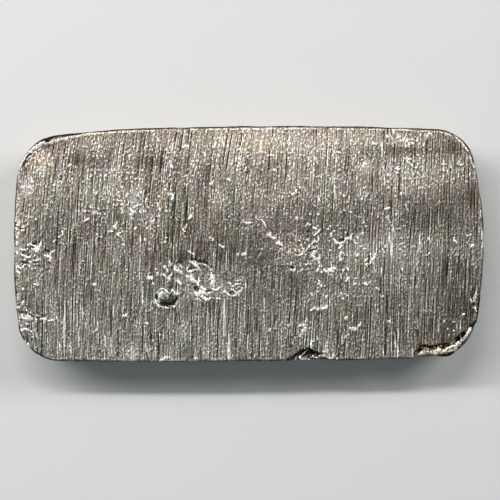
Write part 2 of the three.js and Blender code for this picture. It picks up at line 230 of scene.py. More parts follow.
UPPER_TEARS = (
    ((-30.6, 13.3, 0.18), (-30.3, 13.5, 0.18)),
    ((-34.0, 13.5, 0.12), (-33.5, 13.2, 0.1)),
    ((-28.1, 3.8, 0.1), (-27.3, 4.3, 0.12)),
    ((-26.9, 6.2, 0.14), (-26.7, 6.2, 0.2)),
    ((-26.4, 5.2, 0.1), (-26.0, 5.5, 0.12)),
    ((-25.95, 8.5, 0.12), (-25.8, 8.75, 0.1)),
    ((-22.3, 8.7, 0.1), (-22.05, 8.85, 0.08)),
    ((-23.2, 8.15, 0.08), (-23.0, 8.0, 0.12)),
    ((-22.4, 7.4, 0.06), (-21.9, 7.35, 0.12)),
    ((-19.3, 6.3, 0.1), (-19.0, 6.55, 0.14)),
    ((-18.9, 8.7, 0.08), (-18.85, 8.2, 0.14)),
    ((-17.25, 6.3, 0.12), (-17.1, 6.1, 0.08)),
    ((-15.6, 7.0, 0.1), (-15.55, 6.4, 0.1)),
    ((-20.1, 5.8, 0.12), (-19.9, 5.4, 0.2), (-19.7, 5.1, 0.12), (-20.2, 4.8, 0.12), (-19.95, 4.35, 0.1)),
    ((-19.3, 5.6, 0.1), (-19.25, 5.2, 0.1)),
    ((-18.0, 5.8, 0.1), (-17.95, 5.4, 0.1)),
    ((-21.6, 5.8, 0.12), (-21.6, 5.25, 0.14)),
    ((-22.75, 3.25, 0.14), (-22.8, 2.95, 0.24), (-22.55, 2.4, 0.08)),
    ((-22.4, 1.75, 0.08), (-22.2, 1.5, 0.18), (-22.15, 1.25, 0.08)),
    ((-22.1, 1.8, 0.1), (-21.75, 1.95, 0.07)),
    ((-19.55, 2.45, 0.14), (-19.2, 2.75, 0.14)),
    ((-16.75, 3.8, 0.08), (-16.2, 3.9, 0.09), (-16.2, 4.15, 0.08)),
    ((-16.8, 2.95, 0.1), (-16.65, 3.3, 0.07)),
    ((-15.15, 5.9, 0.1), (-15.1, 5.5, 0.1)),
    ((-13.95, 5.7, 0.12), (-14.0, 5.5, 0.1)),
    ((-25.95, 1.75, 0.1), (-25.6, 1.25, 0.07), (-25.05, 1.15, 0.12)),
    ((-17.7, 0.75, 0.14), (-17.5, 0.5, 0.08)),
    ((-11.3, 2.6, 0.1), (-11.0, 2.1, 0.14)),
    ((-10.8, 2.8, 0.12), (-10.6, 3.3, 0.1)),
    ((-10.2, 4.3, 0.16), (-9.8, 4.8, 0.18)),
    ((-10.4, 5.1, 0.12), (-10.3, 5.5, 0.12)),
    ((-13.5, 8.4, 0.22), (-12.9, 8.3, 0.2), (-12.9, 7.3, 0.12)),
    ((-13.3, 14.0, 0.16), (-13.3, 13.0, 0.12)),
    ((-13.0, 16.8, 0.14), (-13.1, 15.5, 0.12)),
    ((-11.3, 16.4, 0.12), (-10.7, 16.6, 0.18), (-10.2, 16.8, 0.16), (-10.4, 16.1, 0.12)),
    ((-6.6, 10.3, 0.12), (-6.1, 10.4, 0.18)),
    ((-3.9, 11.1, 0.1), (-3.2, 10.8, 0.12)),
    ((-9.9, 13.6, 0.14), (-9.5, 13.2, 0.16)),
    ((-5.6, 17.7, 0.1), (-5.8, 16.4, 0.12)),
    ((-4.6, 17.5, 0.14), (-4.2, 16.6, 0.18)),
    ((11.3, 14.6, 0.16), (11.6, 14.0, 0.2)),
    ((19.3, 13.2, 0.14), (19.8, 13.3, 0.18), (20.0, 14.2, 0.1)),
    ((24.0, 18.5, 0.09), (24.3, 18.1, 0.1), (24.6, 17.5, 0.1), (25.0, 17.3, 0.09), (25.4, 17.5, 0.08)),
    ((24.6, 18.9, 0.18), (24.7, 19.2, 0.1)),
    ((23.5, 18.1, 0.22), (23.7, 18.4, 0.12)),
    ((25.5, 18.0, 0.1), (25.5, 18.4, 0.1)),
    ((25.2, 19.3, 0.1), (26.0, 19.35, 0.14), (27.0, 19.3, 0.14), (27.6, 19.2, 0.1)),
    ((30.2, 17.6, 0.08), (30.3, 18.3, 0.14), (30.5, 18.8, 0.12), (31.0, 18.75, 0.12), (31.2, 18.2, 0.14)),
    ((26.9, 17.4, 0.1), (27.2, 17.0, 0.1), (27.3, 16.4, 0.08)),
    ((27.0, 17.7, 0.08), (27.6, 17.7, 0.1)),
    ((27.15, 14.3, 0.14), (27.5, 14.5, 0.12)),
    ((26.9, 14.1, 0.08), (27.3, 13.7, 0.14), (27.7, 13.4, 0.12), (28.1, 13.1, 0.1)),
    ((25.1, 12.8, 0.14), (25.6, 12.7, 0.2)),
    ((24.4, 14.4, 0.1), (24.6, 14.2, 0.08)),
    ((28.6, 15.1, 0.1), (28.9, 15.0, 0.08)),
    ((30.3, 9.6, 0.1), (30.6, 9.7, 0.1)),
    ((34.3, 13.1, 0.14), (34.5, 12.9, 0.1)),
    ((33.8, 12.4, 0.1), (33.8, 12.0, 0.1)),
    ((34.2, 18.5, 0.2), (34.5, 18.3, 0.12)),
    ((23.0, 5.9, 0.12), (23.6, 6.0, 0.16), (23.9, 6.2, 0.12)),
)
MIDDLE_TEARS = (
    ((-6.6, 1.0, 0.14), (-6.2, 0.8, 0.16)),
    ((-5.1, -0.2, 0.1), (-4.6, -0.35, 0.14), (-4.3, -0.7, 0.1)),
    ((-1.0, 3.9, 0.1), (-0.5, 3.6, 0.18), (0.2, 3.6, 0.12)),
    ((1.1, 4.6, 0.05), (1.6, 4.1, 0.07), (2.2, 4.2, 0.06), (2.6, 3.5, 0.09), (2.9, 2.8, 0.07)),
    ((3.1, 1.5, 0.16), (3.5, 1.5, 0.36), (3.6, 1.9, 0.14)),
    ((3.8, 1.1, 0.16), (4.3, 0.95, 0.24)),
    ((4.7, 0.1, 0.2), (5.0, 0.2, 0.26), (5.7, -0.35, 0.08)),
    ((7.2, -4.4, 0.16), (7.6, -4.5, 0.22), (7.9, -4.3, 0.12)),
    ((7.4, 8.45, 0.2), (7.5, 8.3, 0.16)),
    ((16.1, 8.4, 0.08), (16.1, 8.0, 0.14)),
    ((19.0, 8.8, 0.1), (19.0, 8.35, 0.1)),
    ((11.0, 6.6, 0.1), (11.3, 6.4, 0.1)),
    ((11.8, 7.9, 0.1), (11.85, 7.3, 0.1)),
    ((8.1, 4.45, 0.16), (8.15, 4.3, 0.14)),
    ((8.8, 4.3, 0.1), (9.1, 4.3, 0.1)),
    ((10.35, 3.3, 0.16), (10.0, 3.5, 0.1), (9.6, 2.95, 0.06)),
    ((10.9, 2.8, 0.14), (11.15, 2.7, 0.14), (11.45, 2.6, 0.12)),
    ((11.65, 3.1, 0.08), (11.9, 3.0, 0.08)),
    ((11.1, 1.45, 0.1), (11.5, 1.8, 0.1), (11.8, 2.1, 0.1), (12.15, 2.45, 0.12)),
    ((11.7, 1.15, 0.1), (11.9, 0.85, 0.1), (11.65, 0.6, 0.08)),
    ((10.25, -0.25, 0.08), (10.75, 0.2, 0.09), (11.15, 0.5, 0.1), (11.5, 0.35, 0.12)),
    ((14.0, 1.7, 0.2), (14.0, 1.4, 0.18)),
    (
        (14.35, 0.9, 0.1), (14.6, 0.6, 0.14), (15.0, 0.2, 0.2), (15.6, 0.15, 0.16), (16.3, 0.35, 0.16),
        (16.5, 0.8, 0.14), (16.9, 0.95, 0.2), (17.2, 0.8, 0.2), (17.55, 1.7, 0.06),
    ),
    ((18.35, 1.1, 0.12), (18.55, 1.0, 0.12)),
    ((8.9, -0.15, 0.08), (9.15, -0.75, 0.1), (9.3, -1.1, 0.1), (9.4, -1.5, 0.08)),
    ((9.4, -1.35, 0.07), (10.0, -0.8, 0.08), (10.45, -0.2, 0.09), (10.95, 0.3, 0.1)),
    ((10.5, -0.8, 0.1), (10.95, -0.65, 0.12), (11.35, -0.6, 0.1)),
    ((8.65, -1.25, 0.14), (8.5, -1.05, 0.1)),
    ((8.5, -1.9, 0.08), (8.9, -1.8, 0.1), (9.15, -1.6, 0.08)),
    ((11.25, -1.25, 0.2), (11.0, -1.6, 0.34), (10.75, -1.8, 0.2)),
    ((12.05, -1.8, 0.14), (12.1, -2.0, 0.16)),
    ((11.0, -2.15, 0.14), (11.3, -2.5, 0.2), (11.8, -2.6, 0.18), (12.1, -2.35, 0.12)),
    (
        (11.8, -2.85, 0.16), (11.9, -3.2, 0.12), (12.0, -3.7, 0.1), (11.9, -4.05, 0.08), (11.7, -4.5, 0.12),
        (11.5, -4.75, 0.12),
    ),
    (
        (12.85, -4.35, 0.12), (13.1, -4.7, 0.2), (13.5, -4.6, 0.22), (13.85, -4.35, 0.22),
        (14.25, -4.15, 0.2), (14.7, -4.15, 0.14),
    ),
    ((14.05, -4.6, 0.18), (14.5, -4.7, 0.1)),
    ((13.45, -5.0, 0.12), (13.55, -5.2, 0.1)),
    ((12.15, -4.7, 0.1), (12.45, -4.75, 0.12)),
    ((15.35, -0.1, 0.14), (15.85, -0.25, 0.16), (15.55, -0.55, 0.14), (15.25, -0.8, 0.1)),
    ((15.75, -1.3, 0.12), (16.05, -1.55, 0.1), (16.2, -1.9, 0.1)),
    ((15.55, -1.5, 0.1), (15.55, -2.15, 0.12), (15.65, -2.6, 0.14), (15.4, -2.95, 0.08)),
    ((17.25, -1.7, 0.1), (17.25, -2.05, 0.12)),
    ((18.15, -1.8, 0.14), (18.3, -2.0, 0.18), (18.6, -1.9, 0.1)),
    ((19.6, -3.0, 0.08), (20.15, -2.55, 0.08)),
    ((19.95, -3.5, 0.14), (20.15, -3.85, 0.12)),
    ((20.5, -3.45, 0.12), (20.75, -3.1, 0.16), (21.3, -2.4, 0.16), (21.5, -1.7, 0.12)),
    ((16.0, -4.7, 0.1), (16.15, -4.35, 0.1)),
    ((16.85, -4.15, 0.16), (16.9, -4.45, 0.14)),
    ((16.6, -5.2, 0.08), (16.65, -5.5, 0.1)),
    ((16.55, -6.35, 0.12), (16.8, -6.0, 0.12), (17.0, -5.75, 0.1)),
    ((15.65, -5.2, 0.1), (15.7, -6.0, 0.1)),
    ((18.05, -5.9, 0.1), (18.4, -5.75, 0.08)),
    ((18.05, -6.7, 0.08), (18.4, -6.85, 0.07)),
    ((19.5, -6.8, 0.1), (20.0, -6.85, 0.18)),
    ((11.8, -6.2, 0.09), (12.0, -6.5, 0.1), (11.95, -6.8, 0.12), (11.65, -6.85, 0.09)),
    ((11.6, -7.7, 0.1), (11.85, -7.35, 0.08)),
    ((15.5, -8.3, 0.12), (15.85, -8.6, 0.1)),
    ((8.6, -4.75, 0.1), (9.2, -4.3, 0.06)),
    ((30.5, 0.9, 0.12), (30.9, 0.3, 0.12)),
    ((30.3, -1.9, 0.12), (30.8, -1.5, 0.1)),
    ((26.1, -4.3, 0.12), (26.2, -4.6, 0.12)),
    ((37.2, 1.4, 0.12), (37.8, 1.7, 0.1)),
    ((37.8, -0.4, 0.14), (38.1, -0.2, 0.18)),
    ((34.9, 1.2, 0.08), (34.9, 0.6, 0.1), (35.4, 0.2, 0.16)),
)
HOLLOW_TEARS = (
    ((-10.4, -1.2, 0.1), (-9.4, -1.75, 0.1)),
    (
        (-10.0, -3.05, 0.16), (-9.65, -3.2, 0.2), (-9.35, -3.45, 0.18), (-8.8, -3.85, 0.14),
        (-8.2, -4.55, 0.08),
    ),
    ((-9.25, -2.9, 0.1), (-9.1, -3.1, 0.1), (-9.15, -3.35, 0.08)),
    (
        (-8.5, -3.3, 0.08), (-7.8, -3.45, 0.1), (-7.2, -3.7, 0.12), (-6.75, -4.05, 0.09),
        (-6.25, -4.4, 0.08), (-5.95, -4.7, 0.07),
    ),
    ((-6.6, -4.4, 0.06), (-6.35, -5.2, 0.06)),
    (
        (-10.15, -3.8, 0.06), (-10.5, -4.15, 0.08), (-10.6, -4.55, 0.1), (-9.9, -4.7, 0.14),
        (-9.35, -4.5, 0.12), (-9.1, -4.25, 0.1),
    ),
    ((-12.65, -3.8, 0.14), (-12.65, -4.4, 0.2), (-12.2, -4.55, 0.12), (-11.5, -4.95, 0.16)),
    ((-11.6, -3.75, 0.16), (-11.4, -4.1, 0.1)),
    ((-11.85, -4.5, 0.18), (-11.6, -4.9, 0.12)),
    ((-13.55, -3.0, 0.14), (-13.45, -3.35, 0.18), (-13.2, -3.45, 0.1)),
    ((-14.45, -3.95, 0.2), (-13.95, -4.4, 0.08), (-13.8, -4.8, 0.08)),
    (
        (-14.85, -5.2, 0.14), (-14.6, -5.2, 0.14), (-14.0, -5.75, 0.1), (-13.65, -5.9, 0.22),
        (-13.55, -6.05, 0.16),
    ),
    ((-13.45, -5.5, 0.12), (-13.2, -5.15, 0.08), (-13.1, -4.8, 0.06)),
    ((-15.7, -4.95, 0.16), (-15.55, -5.35, 0.12)),
    ((-17.1, -5.8, 0.24), (-16.6, -5.8, 0.22)),
    ((-12.0, -6.3, 0.22), (-11.7, -6.75, 0.22)),
    (
        (-9.8, -5.3, 0.14), (-10.1, -5.7, 0.2), (-9.85, -6.0, 0.26), (-9.35, -6.25, 0.26),
        (-8.9, -6.6, 0.22), (-8.5, -6.7, 0.16),
    ),
    ((-8.55, -5.9, 0.1), (-8.5, -6.45, 0.14)),
    ((-8.85, -6.9, 0.14), (-8.6, -7.1, 0.1)),
    (
        (-6.15, -5.4, 0.2), (-6.3, -5.9, 0.24), (-6.1, -6.35, 0.26), (-6.3, -6.8, 0.24),
        (-6.2, -7.15, 0.2), (-5.8, -7.2, 0.12),
    ),
    ((-7.95, -7.4, 0.16), (-8.0, -7.8, 0.2), (-7.35, -7.8, 0.14)),
    (
        (-9.2, -8.3, 0.2), (-8.8, -8.6, 0.36), (-8.2, -8.3, 0.28), (-7.65, -8.4, 0.26), (-7.2, -8.5, 0.16),
        (-6.6, -8.35, 0.12),
    ),
    ((-7.9, -8.95, 0.2), (-7.55, -9.2, 0.24), (-7.2, -9.5, 0.2), (-6.9, -9.4, 0.12)),
    ((-9.5, -9.55, 0.06), (-9.1, -9.4, 0.08), (-8.75, -9.35, 0.14), (-8.2, -9.6, 0.06)),
    ((-6.8, -9.35, 0.1), (-6.5, -9.1, 0.09), (-6.1, -9.1, 0.09), (-5.85, -9.35, 0.07)),
    ((-5.45, -9.25, 0.1), (-5.0, -9.3, 0.1)),
    ((-6.45, -7.6, 0.08), (-6.0, -7.9, 0.1), (-5.4, -7.85, 0.1), (-5.05, -7.55, 0.07), (-4.5, -7.2, 0.05)),
    (
        (-4.15, -8.1, 0.18), (-3.95, -8.2, 0.14), (-3.45, -8.6, 0.09), (-2.9, -8.85, 0.1),
        (-2.45, -8.75, 0.14), (-2.1, -8.4, 0.12), (-1.55, -8.05, 0.1), (-1.2, -7.7, 0.08),
        (-1.15, -7.4, 0.06),
    ),
    ((-3.05, -7.65, 0.07), (-2.6, -7.85, 0.1), (-2.35, -8.2, 0.1)),
    ((-3.0, -7.2, 0.07), (-2.45, -7.05, 0.08), (-2.0, -6.8, 0.1), (-1.35, -6.85, 0.12)),
    ((-2.45, -7.55, 0.05), (-1.3, -7.25, 0.05)),
    ((-3.6, -6.65, 0.1), (-3.15, -6.65, 0.12)),
    ((-2.2, -6.3, 0.06), (-1.2, -6.1, 0.06)),
    ((-0.55, -6.9, 0.1), (-0.55, -7.4, 0.1)),
    ((-1.1, -1.8, 0.16), (-0.6, -1.6, 0.16), (-0.65, -1.95, 0.14)),
)
PIT_TEARS = (
    (
        (-15.25, -7.9, 0.08), (-15.0, -7.5, 0.14), (-14.6, -7.5, 0.14), (-14.2, -7.75, 0.16),
        (-13.8, -8.15, 0.14), (-13.55, -8.45, 0.1),
    ),
    ((-13.45, -8.4, 0.12), (-13.2, -8.1, 0.1), (-13.0, -7.9, 0.14)),
    ((-12.8, -8.1, 0.18), (-12.65, -8.45, 0.2), (-12.2, -8.5, 0.16), (-11.9, -8.5, 0.1)),
    ((-15.7, -8.2, 0.1), (-15.4, -8.45, 0.1)),
    ((-15.3, -8.85, 0.1), (-15.4, -9.3, 0.1), (-15.25, -9.8, 0.12)),
    (
        (-16.0, -9.5, 0.12), (-15.8, -9.85, 0.22), (-15.5, -10.2, 0.26), (-15.2, -10.55, 0.22),
        (-14.9, -10.6, 0.1), (-14.6, -10.85, 0.16), (-14.3, -10.6, 0.1), (-14.0, -10.85, 0.14),
        (-13.7, -10.55, 0.1), (-13.35, -10.8, 0.14), (-13.05, -10.5, 0.12), (-12.7, -10.7, 0.14),
        (-12.45, -10.4, 0.1), (-12.35, -10.0, 0.16), (-12.25, -9.6, 0.08),
    ),
    ((-14.2, -9.4, 0.06), (-13.8, -9.15, 0.08)),
)
LOWER_TEARS = (
    (
        (10.5, -11.4, 0.08), (11.1, -10.9, 0.18), (11.8, -11.1, 0.22), (12.4, -10.95, 0.18),
        (13.2, -10.8, 0.2),
    ),
    ((8.7, -13.9, 0.14), (9.3, -13.8, 0.2)),
    ((9.5, -14.4, 0.2), (9.1, -15.0, 0.18), (8.7, -15.7, 0.1)),
    ((9.6, -13.2, 0.12), (9.8, -12.9, 0.12)),
    ((3.4, -14.8, 0.16), (3.6, -14.6, 0.16)),
    ((17.2, -14.3, 0.18), (17.8, -14.45, 0.24), (18.4, -14.5, 0.2)),
    ((18.5, -14.2, 0.14), (18.8, -13.9, 0.16), (19.0, -13.4, 0.12)),
    ((16.4, -12.7, 0.16), (16.6, -12.5, 0.16)),
    ((16.5, -15.9, 0.14), (16.6, -15.5, 0.16)),
    ((6.7, -14.0, 0.14), (7.0, -13.6, 0.1)),
    ((10.5, -16.9, 0.1), (10.6, -17.7, 0.12)),
    ((10.6, -16.6, 0.08), (11.1, -16.6, 0.1)),
    ((8.9, -15.3, 0.12), (8.75, -15.6, 0.12)),
    ((11.65, -15.9, 0.08), (11.65, -16.4, 0.12)),
    ((-15.1, -19.7, 0.12), (-14.3, -19.3, 0.18), (-13.4, -19.2, 0.14)),
    ((-21.3, -12.2, 0.16), (-21.0, -12.2, 0.22)),
    ((-26.4, -6.9, 0.18), (-26.1, -6.9, 0.16)),
    ((-25.8, -13.3, 0.06), (-25.7, -14.3, 0.07), (-26.2, -14.9, 0.06), (-26.8, -15.1, 0.05)),
    ((-17.7, -13.5, 0.08), (-17.2, -13.6, 0.1)),
    ((8.75, -19.6, 0.14), (9.1, -19.5, 0.2), (9.5, -19.45, 0.18), (9.9, -19.3, 0.12)),
    (
        (10.2, -19.6, 0.1), (10.6, -19.35, 0.12), (11.0, -19.15, 0.12), (11.4, -19.25, 0.13),
        (11.7, -19.4, 0.13), (12.0, -19.15, 0.12), (12.3, -18.9, 0.13), (12.7, -19.05, 0.13),
        (12.95, -19.1, 0.08),
    ),
    ((13.7, -19.5, 0.08), (14.0, -19.45, 0.12)),
    ((14.4, -18.8, 0.08), (14.4, -19.2, 0.1)),
    ((7.9, -19.65, 0.07), (8.2, -19.0, 0.08), (8.5, -18.6, 0.06)),
    ((8.6, -19.3, 0.07), (9.4, -18.6, 0.08), (10.0, -17.9, 0.06)),
    ((37.7, -9.2, 0.08), (37.9, -9.9, 0.12)),
    ((38.3, -10.6, 0.1), (38.6, -11.4, 0.12)),
    ((38.2, -9.8, 0.12), (38.6, -8.6, 0.18), (38.7, -8.2, 0.1)),
    ((36.4, -12.1, 0.12), (36.6, -11.9, 0.14)),
    ((34.7, -13.3, 0.1), (34.9, -13.2, 0.14)),
    ((22.7, -8.9, 0.14), (22.9, -8.9, 0.12)),
    ((23.6, -13.2, 0.14), (23.8, -13.2, 0.14)),
    ((21.8, -7.6, 0.14), (22.1, -7.7, 0.12)),
)
LAP_TEARS = (
    (
        (28.3, -19.1, 0.08), (28.8, -18.85, 0.12), (29.3, -18.75, 0.14), (29.8, -18.65, 0.14),
        (30.2, -18.6, 0.1),
    ),
    ((31.0, -18.35, 0.1), (31.3, -18.55, 0.16), (31.7, -18.7, 0.14), (32.1, -18.6, 0.12)),
    ((31.9, -17.95, 0.16), (32.2, -18.0, 0.24), (32.5, -17.7, 0.16), (32.65, -17.55, 0.1)),
    ((32.2, -18.0, 0.24), (32.4, -18.4, 0.2), (32.6, -18.65, 0.12)),
    ((32.6, -18.5, 0.16), (33.0, -18.5, 0.12), (33.4, -18.3, 0.1)),
    (
        (33.2, -18.1, 0.1), (33.8, -17.8, 0.12), (34.2, -17.6, 0.14), (34.6, -17.4, 0.16),
        (35.1, -17.2, 0.14),
    ),
    ((35.2, -17.5, 0.2), (35.2, -18.0, 0.14), (34.6, -18.15, 0.12), (34.0, -18.35, 0.1)),
    ((36.2, -16.45, 0.14), (36.5, -16.3, 0.14)),
    (
        (37.1, -15.6, 0.14), (37.25, -15.1, 0.28), (37.4, -14.7, 0.34), (37.6, -14.4, 0.26),
        (37.75, -14.3, 0.14),
    ),
)
BEADS = (
    (-39.4, 1.7, 0.12), (-39.1, -1.0, 0.12), (-39.45, -1.7, 0.16), (-37.95, 3.85, 0.1), (-36.3, 4.2, 0.14),
    (-37.7, -0.75, 0.1), (-39.45, -4.75, 0.18), (-39.15, -5.05, 0.14), (-36.35, -4.15, 0.09),
    (-36.05, -3.45, 0.1), (-32.35, 1.2, 0.12), (-31.75, 2.6, 0.1), (-30.2, 2.3, 0.1), (-38.7, -12.1, 0.14),
    (-37.95, -12.35, 0.12), (-35.9, -12.25, 0.14), (-38.9, -14.0, 0.1), (-37.85, -13.7, 0.12),
    (-37.15, -11.65, 0.12), (-37.85, -11.3, 0.1), (-37.5, -11.3, 0.08), (-37.8, -10.3, 0.1),
    (-21.6, 9.6, 0.14), (-21.6, 9.0, 0.1), (-20.8, 8.05, 0.16), (-25.0, 7.6, 0.12), (-24.0, 7.15, 0.14),
    (-21.6, 6.7, 0.22), (-20.9, 6.7, 0.14), (-19.65, 6.25, 0.1), (-18.4, 8.8, 0.14), (-14.3, 9.2, 0.14),
    (-18.45, 5.25, 0.12), (-25.45, 5.9, 0.14), (-22.55, 3.65, 0.12), (-25.45, 3.2, 0.1),
    (-23.35, 2.15, 0.14), (-17.4, 2.65, 0.12), (-15.75, 4.7, 0.12), (-15.25, 4.7, 0.12), (-13.85, 7.0, 0.1),
    (-14.05, 6.35, 0.1), (-14.0, 1.0, 0.12), (-14.3, 0.25, 0.12), (-21.3, -0.2, 0.14), (-18.8, 3.35, 0.1),
    (27.9, 17.0, 0.14), (26.3, 14.1, 0.12), (23.7, 9.6, 0.12), (23.7, 10.5, 0.12), (23.6, 11.7, 0.16),
    (24.2, 10.1, 0.12), (29.7, 16.7, 0.12), (35.2, 12.2, 0.1), (35.75, 14.0, 0.16), (35.5, 13.6, 0.12),
    (36.1, 13.4, 0.1), (36.3, 12.6, 0.12), (38.35, 11.1, 0.12), (8.0, 8.7, 0.14), (14.2, 8.75, 0.14),
    (13.55, 8.25, 0.12), (15.6, 8.6, 0.14), (19.85, 8.1, 0.14), (19.2, 7.65, 0.12), (16.8, 7.15, 0.12),
    (19.1, 6.6, 0.1), (10.45, 5.1, 0.12), (11.8, 5.0, 0.14), (17.3, 5.4, 0.14), (19.65, 5.6, 0.12),
    (16.25, 5.75, 0.1), (15.7, 5.4, 0.1), (10.8, 4.0, 0.1), (8.55, 0.6, 0.1), (9.25, 0.8, 0.08),
    (10.0, 0.65, 0.12), (13.45, 2.5, 0.12), (13.9, 3.05, 0.12), (16.45, 2.0, 0.12), (14.55, 2.2, 0.12),
    (14.9, 3.1, 0.12), (15.75, 1.1, 0.1), (19.3, 1.75, 0.16), (13.75, 0.45, 0.12), (18.15, 0.1, 0.12),
    (19.85, 3.05, 0.12), (19.5, 3.65, 0.12), (17.15, 3.5, 0.1), (16.2, 2.7, 0.1), (9.65, -1.85, 0.16),
    (10.5, -2.25, 0.12), (14.05, -5.3, 0.12), (13.85, -1.1, 0.12), (15.9, -2.6, 0.12), (18.25, -2.95, 0.12),
    (20.2, -0.4, 0.12), (20.8, -2.35, 0.12), (19.65, -5.7, 0.1), (20.55, -6.55, 0.12), (12.25, -7.15, 0.18),
    (12.85, -7.15, 0.1), (11.6, -8.1, 0.14), (10.7, -8.7, 0.12), (13.1, -8.9, 0.14), (16.0, -9.25, 0.12),
    (16.65, -8.75, 0.12), (8.55, -3.75, 0.12), (9.75, -3.55, 0.1), (10.4, -3.5, 0.12), (-13.6, -3.7, 0.12),
    (-15.85, -4.3, 0.12), (-16.3, -6.85, 0.12), (-10.65, -5.5, 0.16), (-10.7, -6.2, 0.12),
    (-6.5, -5.3, 0.1), (-1.9, -1.75, 0.14), (-12.15, -8.1, 0.08), (10.1, -19.65, 0.1), (15.0, -19.45, 0.12),
    (33.3, -13.2, 0.12), (33.8, -14.4, 0.1), (33.95, -15.5, 0.14), (34.8, -14.7, 0.1), (30.5, -18.45, 0.16),
    (35.7, -16.6, 0.14), (35.85, -17.0, 0.18), (36.15, -15.9, 0.1), (36.75, -15.95, 0.18),
)

